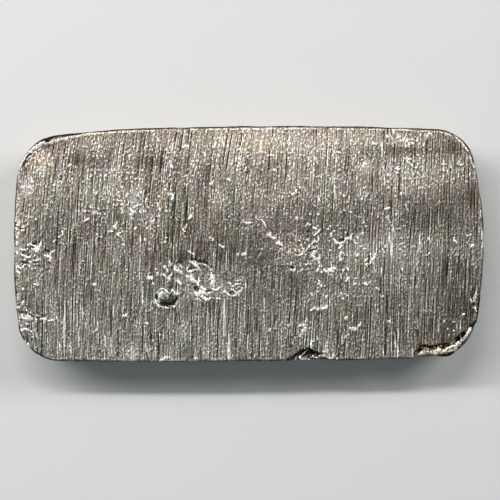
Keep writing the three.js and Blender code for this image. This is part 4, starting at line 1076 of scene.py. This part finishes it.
def ragged(fields, near, amount, low, high):
    """1 within a drawn mark, whose edges grain eats into."""
    grain = fields.total(fields.noise((4.4, 4.4, 0), 13.0, detail=3), -0.5)
    return fields.rise(fields.total(near, fields.times(grain, amount)), low, high)


# ---- The bar's skin ---------------------------------------------------------


def put(name, data):
    """A new object in the scene."""
    made = bpy.data.objects.new(name, data)
    bpy.context.scene.collection.objects.link(made)
    return made


def only(piece):
    """Deselects everything else, so that an operator acts on this piece alone."""
    bpy.ops.object.select_all(action="DESELECT")
    piece.select_set(True)
    bpy.context.view_layer.objects.active = piece


def scale_in_place(piece, factors):
    piece.scale = factors
    bpy.ops.object.transform_apply(location=False, rotation=False, scale=True)


def triangles(polygons):
    return sum(len(polygon.vertices) - 2 for polygon in polygons)


def cast_from_cad(name):
    """A merged copy of the CAD solid, which stays as it is."""
    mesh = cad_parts[NODE].data.copy()
    mesh.materials.clear()
    piece = put(name, mesh)
    only(piece)
    bpy.ops.object.mode_set(mode="EDIT")
    bpy.ops.mesh.select_all(action="SELECT")
    bpy.ops.mesh.remove_doubles(threshold=0.001 * MM)
    bpy.ops.object.mode_set(mode="OBJECT")
    return piece


def fine_skin(piece, pitch):
    """Covers the bar in small cells, narrow across the file marks and longer along them."""
    scale_in_place(piece, CELL_STRETCH)
    skin = piece.modifiers.new("Fine skin", "REMESH")
    skin.mode = "VOXEL"
    skin.voxel_size = pitch * CELL_STRETCH.x
    skin.use_smooth_shade = True
    bpy.ops.object.modifier_apply(modifier=skin.name)
    scale_in_place(piece, Vector(1 / s for s in CELL_STRETCH))


def refine_near(piece, marks):
    """Halves the skin's cells near the drawn marks, so that torn edges come out crisp."""
    spots = []
    for mark in marks:
        for start, end in zip(mark, mark[1:]):
            steps = 1 + int(math.dist(start[:2], end[:2]) / MARK_STEP)
            spots += [Vector(start[:2]).lerp(Vector(end[:2]), n / steps) for n in range(steps + 1)]
    tree = KDTree(len(spots))
    for number, spot in enumerate(spots):
        tree.insert((spot.x * MM, spot.y * MM, FACE_HEIGHT), number)
    tree.balance()
    bpy.ops.object.mode_set(mode="EDIT")
    bpy.ops.mesh.select_mode(type="FACE")
    bpy.ops.mesh.select_all(action="DESELECT")
    bpy.ops.object.mode_set(mode="OBJECT")
    for polygon in piece.data.polygons:
        near = tree.find(polygon.center)[2] < REFINED_MARGIN
        polygon.select = near and polygon.normal.z > STEEPEST_REFINED
    bpy.ops.object.mode_set(mode="EDIT")
    bpy.ops.mesh.subdivide(number_cuts=1)
    bpy.ops.object.mode_set(mode="OBJECT")


def thin_out(piece, chosen, most):
    """Thins the flattest of the chosen places, until the whole skin has this many triangles."""
    group = piece.vertex_groups.new(name="to thin out")
    group.add([point.index for point in piece.data.vertices if chosen(point.co)], 1.0, "REPLACE")
    thin = piece.modifiers.new("Thin out", "DECIMATE")
    thin.ratio = most / triangles(piece.data.polygons)
    thin.vertex_group = group.name
    bpy.ops.object.modifier_apply(modifier=thin.name)
    piece.vertex_groups.clear()


# ---- Relief -----------------------------------------------------------------

# The nearness of a point that is far from every mark of a kind.
FAR_OFF = -0.6


def guide(name, marks):
    """The marks' centre lines, which shape the relief and are then thrown away."""
    points = [point for mark in marks for point in mark]
    lines = []
    start = 0
    for mark in marks:
        lines += [(n, n + 1) for n in range(start, start + len(mark) - 1)]
        start += len(mark)
    mesh = bpy.data.meshes.new(name)
    mesh.from_pydata([(x * MM, y * MM, 0) for x, y, half_width in points], lines, [])
    widths = mesh.attributes.new("half_width", "FLOAT", "POINT")
    widths.data.foreach_set("value", [half_width for x, y, half_width in points])
    return put(name, mesh)


def nearness(fields, drawn, spot):
    """1 on a guide's nearest line, 0.6 at that mark's edge and down to FAR_OFF beyond."""

    def output_of(kind, output, inputs, **settings):
        """One output of a new node with these inputs."""
        made = fields.node(kind, **settings)
        fields.feed_all(made, inputs)
        return made.outputs[output]

    info = output_of("GeometryNodeObjectInfo", "Geometry", {"Object": drawn})
    curve = output_of("GeometryNodeMeshToCurve", 0, {"Mesh": info})
    fine = {"Curve": curve, "Length": GUIDE_STEP * MM}
    dense = output_of("GeometryNodeResampleCurve", 0, fine, mode="LENGTH")
    lines = output_of("GeometryNodeCurveToMesh", 0, {"Curve": dense})
    at = fields.vector("SCALE", spot, Scale=MM)
    asked = {"Geometry": lines, "Sample Position": at}
    near = output_of("GeometryNodeProximity", "Distance", asked, target_element="EDGES")
    nearest = output_of("GeometryNodeSampleNearest", 0, asked, domain="POINT")
    named = output_of("GeometryNodeInputNamedAttribute", 0, {"Name": "half_width"}, data_type="FLOAT")
    chosen = {"Geometry": lines, "Value": named, "Index": nearest}
    width = output_of("GeometryNodeSampleIndex", 0, chosen, data_type="FLOAT", domain="POINT")
    reach = fields.maths("DIVIDE", fields.times(near, 1 / MM), width)
    return fields.maths("MAXIMUM", fields.rest(fields.times(reach, 0.4)), FAR_OFF)


class Relief(Fields):
    """What the file, the air and the mould did at each point of the skin, and the painted light in its
    brightness.
    """

    def __init__(self, tree, sizes, guides):
        super().__init__(tree, tree.nodes.new("GeometryNodeInputPosition").outputs[0])
        self.sizes = sizes
        self.normal = tree.nodes.new("GeometryNodeInputNormal").outputs[0]
        self.upward = self.axis("Z", self.normal)
        self.height = self.axis("Z")
        self.find_zones()
        self.find_rim()
        wobble = self.noise((1.8, 1.8, 0), 31.0, detail=3, output=1)
        self.wobble = self.vector("SUBTRACT", wobble, Vector((0.5, 0.5, 0.5)))
        self.near = {name: self.nearness_to(name, drawn) for name, drawn in guides.items()}
        self.path = file_path(self)
        self.furrow = self.furrows()
        self.lumps = self.noise((1.9, 1.9, 1.9), 5.3, detail=3, flat=False)
        self.grit = self.noise((4.2, 4.2, 4.2), 9.1, detail=2, flat=False)
        self.ripple = self.noise((0.18, 0.18, 0.9), 14.2, detail=3, flat=False)

    def between(self, depth, other_depth):
        """0 at the first depth below the filed face and 1 at the second."""
        face = FACE_HEIGHT / MM
        return self.rise(self.height, face - depth, face - other_depth)

    def find_zones(self):
        """Shares of the filed face, the raw metal round it, and the walls and underside below."""
        self.shallow = self.zone(SHALLOW_PLACES)
        level = self.maths("MAXIMUM", self.between(0.16, 0.04), self.times(self.shallow, 0.7))
        self.filed = self.times(level, self.rise(self.upward, 0.75, 0.95))
        self.upper = self.times(self.between(2.2, 1.6), self.rise(self.upward, 0.0, 0.5))
        self.raw = self.times(self.upper, self.rest(self.filed))
        self.below = self.rest(self.upper)
        self.smooth = self.zone(SMOOTH_PLACES)

    def find_rim(self):
        """The rim's burr with a painted highlight on its sloping band, and the painted shade of its outer
        part.
        """
        along, across = self.magnitude(self.axis("X")), self.magnitude(self.axis("Y"))
        outskirts = self.maths("MAXIMUM", self.rise(along, 34.0, 35.5), self.rise(across, 16.0, 17.0))
        rim = self.times(outskirts, self.between(1.3, 0.9))
        grain = self.total(self.noise((0.7, 0.7, 0), 17.0, detail=3), self.places(BURR_AND_HIGHLIGHT_PLACES))
        patches = self.rise(grain, 0.38, 0.6)
        # The burr's brightness is partly a painted highlight on the band where the rim starts to slope.
        sloping = self.times(self.rise(self.upward, 0.998, 0.975), self.rise(self.upward, 0.84, 0.93))
        self.rim_burr_and_highlight = self.times(rim, patches, sloping)
        # Painted shade on the rim's outer part, spread wider where the rim is turned down.
        self.turned_down_shade = self.zone(SHADE_PLACES)
        broad = self.times(self.turned_down_shade, self.rise(self.upward, 0.955, 0.9))
        shade = self.maths("MAXIMUM", broad, self.rise(self.upward, 0.85, 0.68))
        self.rim_shade = self.times(rim, shade, self.rise(self.upward, -0.1, 0.1))

    def nearness_to(self, name, drawn):
        """How near each point is to the drawn marks of one kind, which stay off the walls."""
        amount = 0.25 if name in ("tear", "crevice") else 0.15
        shifted = self.vector("ADD", self.place, self.vector("SCALE", self.wobble, Scale=amount))
        near = nearness(self, drawn, self.vector("MULTIPLY", shifted, Vector((1, 1, 0))))
        return self.total(self.times(self.total(near, -FAR_OFF), self.upper), FAR_OFF)

    def mark(self, name, amount, low, high):
        return self.times(ragged(self, self.near[name], amount, low, high), self.upper)

    def furrows(self):
        """Height of the filed metal from 0 to 1: broad waves and the teeth's furrows."""
        broad = self.noise((0.7, 0.05, 0), 3.1, detail=1, place=self.path)
        teeth = self.noise((2.6, 0.14, 0), 11.7, detail=2, place=self.path)
        return self.total(self.times(broad, 0.3), self.times(teeth, 0.7))

    def file_move(self):
        """Furrows, deep scores and torn flecks of the filed face."""
        kept = self.rest(self.times(self.smooth, 0.7))
        gouge = self.times(self.rise(self.furrow, 0.55, 0.36), kept, -self.sizes.furrow_depth / MM)
        deep = self.times(scores(self, self.path), -0.6 * self.sizes.cut_depth / MM)
        fleck = self.times(burrs(self, self.path), self.sizes.burr_height / MM)
        return self.times(self.total(gouge, deep, fleck), self.filed)

    def raw_move(self):
        """Lumps of the frozen metal that the file didn't reach."""
        lumpy = self.total(self.lumps, self.grit, -1.0)
        return self.times(lumpy, self.sizes.raw_depth / MM, self.raw, self.rise(self.upward, 0.3, 0.95))

    def mark_moves(self):
        """The torn metal stands proud, the cuts and crevices lie deep, and the scratches have a burr."""
        torn = self.mark("tear", 1.4, 0.4, 0.58)
        cut = self.times(self.mark("cut", 0.3, 0.5, 0.75), 0.7)
        crevice = self.times(self.mark("crevice", 0.5, 0.45, 0.7), 0.6)
        return (
            self.times(torn, self.total(self.times(self.grit, 2.0), -0.2), self.sizes.tear_height / MM),
            self.times(self.total(cut, crevice), -self.sizes.cut_depth / MM),
            self.times(self.mark("scratch", 0.6, 0.34, 0.7), 0.035),
        )

    def mould_moves(self):
        """The walls ripple, and the edges wander in and out."""
        wave = self.noise((0.16, 0.16, 0.16), 27.0, detail=2, flat=False)
        return (
            self.times(self.total(self.ripple, -0.5), 2 * self.sizes.skin_ripple / MM, self.below),
            self.times(self.total(wave, -0.5), 0.5, self.rise(self.upward, 0.9, 0.5)),
        )

    def offset(self):
        """How far each point moves, in metres: along its normal, with the outline and out of hollows."""
        on_rim = self.times(self.rim_burr_and_highlight, 0.05)
        move = self.total(self.file_move(), self.raw_move(), *self.mark_moves(), on_rim, *self.mould_moves())
        depth = self.maths("SUBTRACT", FACE_HEIGHT / MM, self.height)
        to_right = self.times(self.places(END_PLACES), MM)
        to_back = self.times(self.places(EDGE_PLACES), MM)
        upwards = self.times(self.shallow, depth, self.upper, 0.78 * MM)
        outwards = self.vector("SCALE", self.normal, Scale=self.times(move, MM))
        return self.vector("ADD", outwards, self.point(to_right, to_back, upwards))

    def sheen(self):
        """How bright the metal is: filed, raw, below, and on the rim, with painted shade in its hollows and
        on the rim's edge, and a painted highlight on the rim's sloping band.
        """
        cloud = self.noise((0.35, 0.25, 0), 63.0, detail=3)
        filed = self.total(
            0.399,
            self.places(SHEEN_PLACES),
            self.times(self.total(cloud, -0.5), 0.12),
            # Painted shade in the furrows' bottoms and a painted highlight on their ridges.
            self.times(self.rise(self.furrow, 0.48, 0.33), -0.05),
            self.times(self.rise(self.furrow, 0.54, 0.68), 0.05),
        )
        raw = self.total(
            0.45,
            self.times(self.total(self.lumps, -0.5), 0.5),
            # Painted shade: raw metal is darker the deeper it lies below the face.
            self.times(self.between(0.7, 1.3), -0.12),
            self.places(RAW_PLACES),
        )
        wall = self.total(0.52, self.times(self.total(self.ripple, -0.5), 0.6))
        return self.total(
            self.times(filed, self.filed),
            self.times(raw, self.raw),
            self.times(wall, self.below),
            self.times(self.rim_burr_and_highlight, self.total(0.3, self.times(self.turned_down_shade, -0.16))),
            self.times(self.rim_shade, self.total(-0.26, self.times(self.turned_down_shade, -0.22))),
        )

    def warmth(self):
        """Warm towards the back, cold towards the front, and patchy."""
        tinge = self.noise((0.3, 0.22, 0), 47.0, detail=2)
        back = self.rise(self.axis("Y"), -24.0, 34.0)
        return self.total(back, self.places(WARM_PLACES), self.times(tinge, 2.0), -1.0)

    def notes(self):
        """What the finish needs to know about each point, by the attribute's name."""
        return {
            "filed": self.filed,
            "sheen": self.sheen(),
            "gold": self.times(self.places(GOLDEN_PLACES), self.upper),
            "warmth": self.warmth(),
            "smooth": self.smooth,
            "below": self.below,
            **{f"near_{name}": value for name, value in self.near.items()},
        }


def relief_tree(sizes, guides):
    """Stores what the finish needs at each of the skin's points, and moves them."""
    tree = bpy.data.node_groups.new("Ingot relief", "GeometryNodeTree")
    for way in ("INPUT", "OUTPUT"):
        tree.interface.new_socket("Geometry", in_out=way, socket_type="NodeSocketGeometry")
    relief = Relief(tree, sizes, guides)
    geometry = tree.nodes.new("NodeGroupInput").outputs[0]
    for name, value in relief.notes().items():
        store = relief.node("GeometryNodeStoreNamedAttribute", data_type="FLOAT", domain="POINT")
        relief.feed_all(store, {"Geometry": geometry, "Name": name, "Value": value})
        geometry = store.outputs["Geometry"]
    moved = relief.node("GeometryNodeSetPosition")
    relief.feed_all(moved, {"Geometry": geometry, "Offset": relief.offset()})
    relief.feed(tree.nodes.new("NodeGroupOutput").inputs[0], moved.outputs[0])
    return tree


def apply_relief(piece, sizes):
    guides = {name: guide(f"{name} guide", marks) for name, marks in MARKS.items()}
    carve = piece.modifiers.new("Relief", "NODES")
    carve.node_group = relief_tree(sizes, guides)
    only(piece)
    bpy.ops.object.modifier_apply(modifier=carve.name)
    for drawn in guides.values():
        bpy.data.objects.remove(drawn)


# ---- Finish -----------------------------------------------------------------


def rgba(shade):
    return (*shade, 1.0)


def new_material(name):
    """A material and its Principled shader."""
    material = bpy.data.materials.new(name)
    material.use_nodes = True
    return material, next(n for n in material.node_tree.nodes if n.type == "BSDF_PRINCIPLED")


class Finish(Fields):
    """Tarnish, wear, torn metal, painted shade and painted glints, from what the relief noted and from finer
    patterns.

    The metal's value runs from 0, black sulphide, to 1, freshly torn silver.
    """

    def __init__(self, tree, sizes):
        super().__init__(tree, tree.nodes.new("ShaderNodeTexCoord").outputs["Object"])
        self.sizes = sizes
        self.filed = self.attribute("filed")
        self.smooth = self.attribute("smooth")
        self.below = self.attribute("below")
        self.gold = self.attribute("gold")
        self.near_tear = self.attribute("near_tear")
        self.torn = ragged(self, self.near_tear, 1.4, 0.4, 0.56)
        self.path = file_path(self)
        self.fleck = burrs(self, self.path)
        self.score = scores(self, self.path)
        self.weave = self.noise((4.8, 2.6, 0), 83.1, detail=2, place=self.path)
        self.grain = self.noise((3.2, 3.2, 3.2), 13.0, detail=3, flat=False)
        self.sheen = self.attribute("sheen")
        self.value = self.total(self.sheen, self.filed_pattern(), self.raw_pattern(), self.marks())

    def patches(self, per_mm, seed, low, high):
        return self.rise(self.noise(per_mm, seed, detail=2), low, high)

    def lines(self, per_mm, length, seed, width, share, strength, *limits):
        return self.times(file_lines(self, self.path, per_mm, length, seed, width, share), *limits, strength)

    def curls(self):
        """1 on hairline scratches that curl about the face."""
        contour = self.noise((0.5, 0.9, 0), 29.0, detail=1)
        off_line = self.magnitude(self.total(contour, -0.5))
        gaps = self.noise((0.8, 0.8, 0), 38.1, detail=1)
        return self.times(self.rise(off_line, 0.05, 0.015), self.rise(gaps, 0.52, 0.6))

    def filed_pattern(self):
        """What the file's flecks and lines, and the scratches on its smooth places, add to the value, with
        painted glints on the flecks and a painted shadow beside each.
        """
        rows = self.rest(self.times(self.smooth, 0.8))
        front = self.rise(self.axis("Y"), 10.0, -6.0)
        worn = self.total(0.4, self.patches((0.5, 0.12, 0), 131.0, 0.35, 0.6))
        rough = self.total(0.45, self.patches((0.4, 0.3, 0), 57.0, 0.36, 0.64))
        # Painted glints on the flecks, stronger where the metal is brighter and weaker at the front.
        lit_fleck = self.times(self.fleck, self.rise(self.sheen, 0.2, 0.55))
        # Painted shadow just beside each fleck.
        shaded_side = burrs(self, self.vector("ADD", self.path, Vector((-0.16, 0.2, 0))))
        streak = self.noise((3.9, 0.12, 0), 91.7, detail=2, place=self.path)
        grit = self.noise((5.0, 4.4, 0), 151.0, detail=2)
        work = self.total(
            self.times(lit_fleck, rough, self.total(0.34, self.times(front, -0.12))),
            self.times(self.maths("SUBTRACT", shaded_side, self.fleck), -0.08),
            self.times(self.total(self.weave, -0.5), rough, rows, 0.5),
            self.times(self.total(streak, -0.5), rows, worn, 0.42),
            self.times(self.score, rows, -0.22),
            self.lines(1.3, 8.0, 5.7, 0.1, 0.14, -0.16, rows),
            self.lines(2.6, 4.5, 17.2, 0.075, 0.2, self.total(-0.1, self.times(front, -0.06)), rows, worn),
            self.lines(1.7, 3.0, 77.7, 0.09, 0.05, self.total(0.14, self.times(front, 0.1))),
            self.times(self.curls(), self.smooth, 0.2),
            self.times(self.total(self.grain, grit, -1.0), self.total(0.2, self.times(self.smooth, 0.42))),
        )
        lively = self.total(1.06, self.places(LIVELY_PLACES))
        return self.times(work, self.filed, lively, self.total(1.0, self.times(self.torn, -0.8)))

    def raw_pattern(self):
        """Speckle of the metal that the file didn't reach, faint on the walls."""
        strength = self.total(1.2, self.times(self.gold, 1.4), self.times(self.below, -0.8))
        return self.times(self.total(self.grain, -0.5), strength, self.rest(self.filed))

    def marks(self):
        """What the drawn marks add to the value: torn metal with a painted glint, spatter, a ring of painted
        shade round the torn metal, and the cuts and crevices darkened by tarnish and painted shade.
        """
        spark = self.patches((3.4, 3.4, 0), 171.0, 0.34, 0.56)
        torn_value = self.total(0.54, self.times(spark, 0.27), self.times(self.weave, 0.18))
        spatter_grain = self.noise((4.2, 4.2, 0), 191.0, detail=2)
        spatter = self.rise(self.total(spatter_grain, self.times(self.near_tear, 0.22)), 0.63, 0.72)
        # Painted shade: a dark ring round the torn metal, broken up by grain.
        shaded_moat = self.times(self.rise(self.near_tear, 0.1, 0.5), self.rest(self.torn))
        added = [
            # The torn metal is set to fresh silver's value, with a painted glint.
            self.times(self.torn, self.maths("SUBTRACT", torn_value, self.sheen)),
            self.times(spatter, self.rest(self.torn), 0.2),
            self.times(shaded_moat, self.rise(self.grain, 0.55, 0.4), -0.14),
        ]
        # Scratches are lighter; cuts and crevices are darker, with tarnish and painted shade.
        for name, amount, low, high, strength in (
            ("near_scratch", 0.6, 0.34, 0.58, 0.3),
            ("near_cut", 0.4, 0.5, 0.75, -0.19),
            ("near_crevice", 0.6, 0.45, 0.62, -0.27),
        ):
            added.append(self.times(ragged(self, self.attribute(name), amount, low, high), strength))
        return self.total(*added)

    def colour(self):
        """The grey of the value, dyed by warm and cold, green and purple, and golden tarnish."""
        sizes = self.sizes
        shades = (sizes.sulphide, sizes.tarnish, sizes.dull_silver, sizes.rubbed_silver, sizes.torn_silver)
        grey = self.ramp(self.value, tuple(zip((0.08, 0.3, 0.5, 0.72, 0.95), shades)))
        cold_to_warm = ((0.0, (0.949, 1.005, 1.09)), (1.0, (1.02, 0.985, 0.985)))
        purple_to_green = ((0.1, (1.009, 0.94, 1.009)), (0.9, (0.987, 1.0725, 0.987)))
        tint = self.ramp(self.attribute("warmth"), cold_to_warm)
        green = self.total(self.noise((0.2, 0.18, 0), 101.0, detail=4), self.places(GREEN_PLACES))
        tinted = self.dye(self.dye(grey, tint), self.ramp(green, purple_to_green))
        return self.blend(self.gold, tinted, self.dye(tinted, rgba(sizes.gold_tint)))

    def bump(self):
        height = self.total(
            self.times(self.fleck, 0.5, self.filed),
            self.times(self.score, -0.8, self.filed),
            self.times(self.weave, 0.8, self.filed),
            self.times(self.grain, self.total(0.8, self.times(self.below, -0.5))),
            self.times(self.torn, 0.6),
        )
        made = self.node("ShaderNodeBump")
        self.feed_all(made, {"Distance": 0.05 * MM, "Strength": 0.6, "Height": height})
        return made.outputs[0]


def tarnished_silver_and_painted_light(sizes):
    """Bright metal on the ridges, sulphide and painted shade in the furrows, and grey between."""
    material, shader = new_material("tarnished silver and painted light")
    finish = Finish(material.node_tree, sizes)
    polished = finish.rise(finish.value, 0.55, 0.95)
    roughness = finish.total(0.52, finish.times(polished, -0.18))
    looks = {"Base Color": finish.colour(), "Metallic": 1.0, "Roughness": roughness, "Normal": finish.bump()}
    finish.feed_all(shader, looks)
    return material


class INGOT_OT_cast_bar(bpy.types.Operator):
    """Make the bar: its fine skin, its relief and its tarnished finish"""

    bl_idname = "ingot.cast_bar"
    bl_label = "Cast the Bar"

    def execute(self, context):
        sizes = context.scene.ingot
        piece = cast_from_cad("ingot_bar")
        fine_skin(piece, sizes.skin_pitch)
        refine_near(piece, TEARS + HOLLOWS)
        apply_relief(piece, sizes)
        kept = triangles(polygon for polygon in piece.data.polygons if polygon.center.z > WALL_TOP)
        thin_out(piece, lambda place: place.z < WALL_TOP, kept + WALL_TRIANGLES)
        thin_out(piece, lambda place: place.z > WALL_TOP, MOST_TRIANGLES)
        piece.data.materials.append(tarnished_silver_and_painted_light(sizes))
        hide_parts(NODE)
        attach(piece, "root")
        return {"FINISHED"}


# ---- The stage --------------------------------------------------------------


def pale_floor(stage):
    bpy.ops.object.select_all(action="DESELECT")
    bpy.ops.mesh.primitive_plane_add(size=FLOOR_SIZE, location=(0, 0, 0))
    floor = bpy.context.active_object
    floor.name = "paper_floor"
    material, shader = new_material("pale paper")
    shader.inputs["Base Color"].default_value = rgba(stage.floor_colour)
    shader.inputs["Roughness"].default_value = 0.9
    shader.inputs["Specular IOR Level"].default_value = 0.2
    floor.data.materials.append(material)


def hang_lamp(name, place, turn, watts, size):
    """A rectangular lamp of this size, along its own X and Y."""
    lamp = bpy.data.lights.new(name, "AREA")
    lamp.shape = "RECTANGLE"
    lamp.size, lamp.size_y = size
    lamp.energy = watts
    lamp_object = put(name, lamp)
    lamp_object.location = place
    lamp_object.rotation_euler = turn


def lamps(stage):
    """A tube lamp that lies along the bar, behind it and above, and a soft lamp at each end."""
    lean = stage.lamp_lean
    place = (STRIP_MIDDLE, STRIP_REACH * math.sin(lean), STRIP_REACH * math.cos(lean))
    hang_lamp("strip_lamp", place, (-lean, 0, 0), stage.lamp_power, STRIP_SIZE)
    for name, side, watts in (("left_lamp", -1, stage.left_power), ("right_lamp", 1, stage.right_power)):
        place = Vector((side, 1, 1)) * Vector(END_LAMP_PLACE)
        hang_lamp(name, place, place.to_track_quat("Z", "Y").to_euler(), watts, END_LAMP_SIZE)


def hood(stage):
    """The pale hood over the stage: bright overhead and dim at the horizon as the metal sees it."""
    world = bpy.data.worlds.new("pale hood")
    bpy.context.scene.world = world
    world.use_nodes = True
    tree = world.node_tree
    background = next(n for n in tree.nodes if n.type == "BACKGROUND")
    fields = Fields(tree, tree.nodes.new("ShaderNodeTexCoord").outputs["Generated"])
    path = tree.nodes.new("ShaderNodeLightPath")
    overhead = fields.rise(fields.axis("Z"), 0.2 / MM, 0.85 / MM)
    reflected = fields.total(HORIZON_LIGHT, fields.times(overhead, stage.hood_light - HORIZON_LIGHT))
    lit = fields.times(path.outputs["Is Glossy Ray"], fields.maths("SUBTRACT", reflected, stage.fill_light))
    seen = fields.times(path.outputs["Is Camera Ray"], BACKDROP_LIGHT - stage.fill_light)
    fields.feed(background.inputs["Strength"], fields.total(stage.fill_light, lit, seen))
    cool = fields.blend(path.outputs["Is Diffuse Ray"], (1, 1, 1, 1), (0.78, 0.98, 1.04, 1))
    fields.feed(background.inputs["Color"], cool)


def overhead_camera(stage):
    """Looks straight down on the filed face, with the bar along the picture."""
    camera = bpy.data.cameras.new("overhead camera")
    camera.lens = LENS
    camera_object = put("overhead_camera", camera)
    camera_object.location = AIM + Vector((0, 0, stage.frame_width * LENS / camera.sensor_width))
    bpy.context.scene.camera = camera_object


class INGOT_OT_set_stage(bpy.types.Operator):
    """Lay the floor and set up the lamps, the hood and the camera"""

    bl_idname = "ingot.set_stage"
    bl_label = "Set the Stage"

    def execute(self, context):
        stage = context.scene.ingot_stage
        pale_floor(stage)
        lamps(stage)
        hood(stage)
        overhead_camera(stage)
        context.scene.view_settings.view_transform = "Standard"
        return {"FINISHED"}


# ---- The add-on -------------------------------------------------------------


class INGOT_PT_sidebar(bpy.types.Panel):
    """The bar's and the stage's settings"""

    bl_label = "Poured Silver Ingot"
    bl_idname = "INGOT_PT_sidebar"
    bl_space_type = "VIEW_3D"
    bl_region_type = "UI"
    bl_category = "Ingot"

    def draw(self, context):
        for operator, settings in (
            (INGOT_OT_cast_bar, context.scene.ingot),
            (INGOT_OT_set_stage, context.scene.ingot_stage),
        ):
            box = self.layout.box()
            box.operator(operator.bl_idname)
            for name in settings.__annotations__:
                box.prop(settings, name)


CLASSES = (IngotSettings, StageSettings, INGOT_OT_cast_bar, INGOT_OT_set_stage, INGOT_PT_sidebar)


def register():
    for made in CLASSES:
        bpy.utils.register_class(made)
    bpy.types.Scene.ingot = bpy.props.PointerProperty(type=IngotSettings)
    bpy.types.Scene.ingot_stage = bpy.props.PointerProperty(type=StageSettings)


def unregister():
    del bpy.types.Scene.ingot_stage
    del bpy.types.Scene.ingot
    for made in reversed(CLASSES):
        bpy.utils.unregister_class(made)


def main():
    register()
    bpy.ops.ingot.cast_bar()
    bpy.ops.ingot.set_stage()


if __name__ == "__main__":
    main()
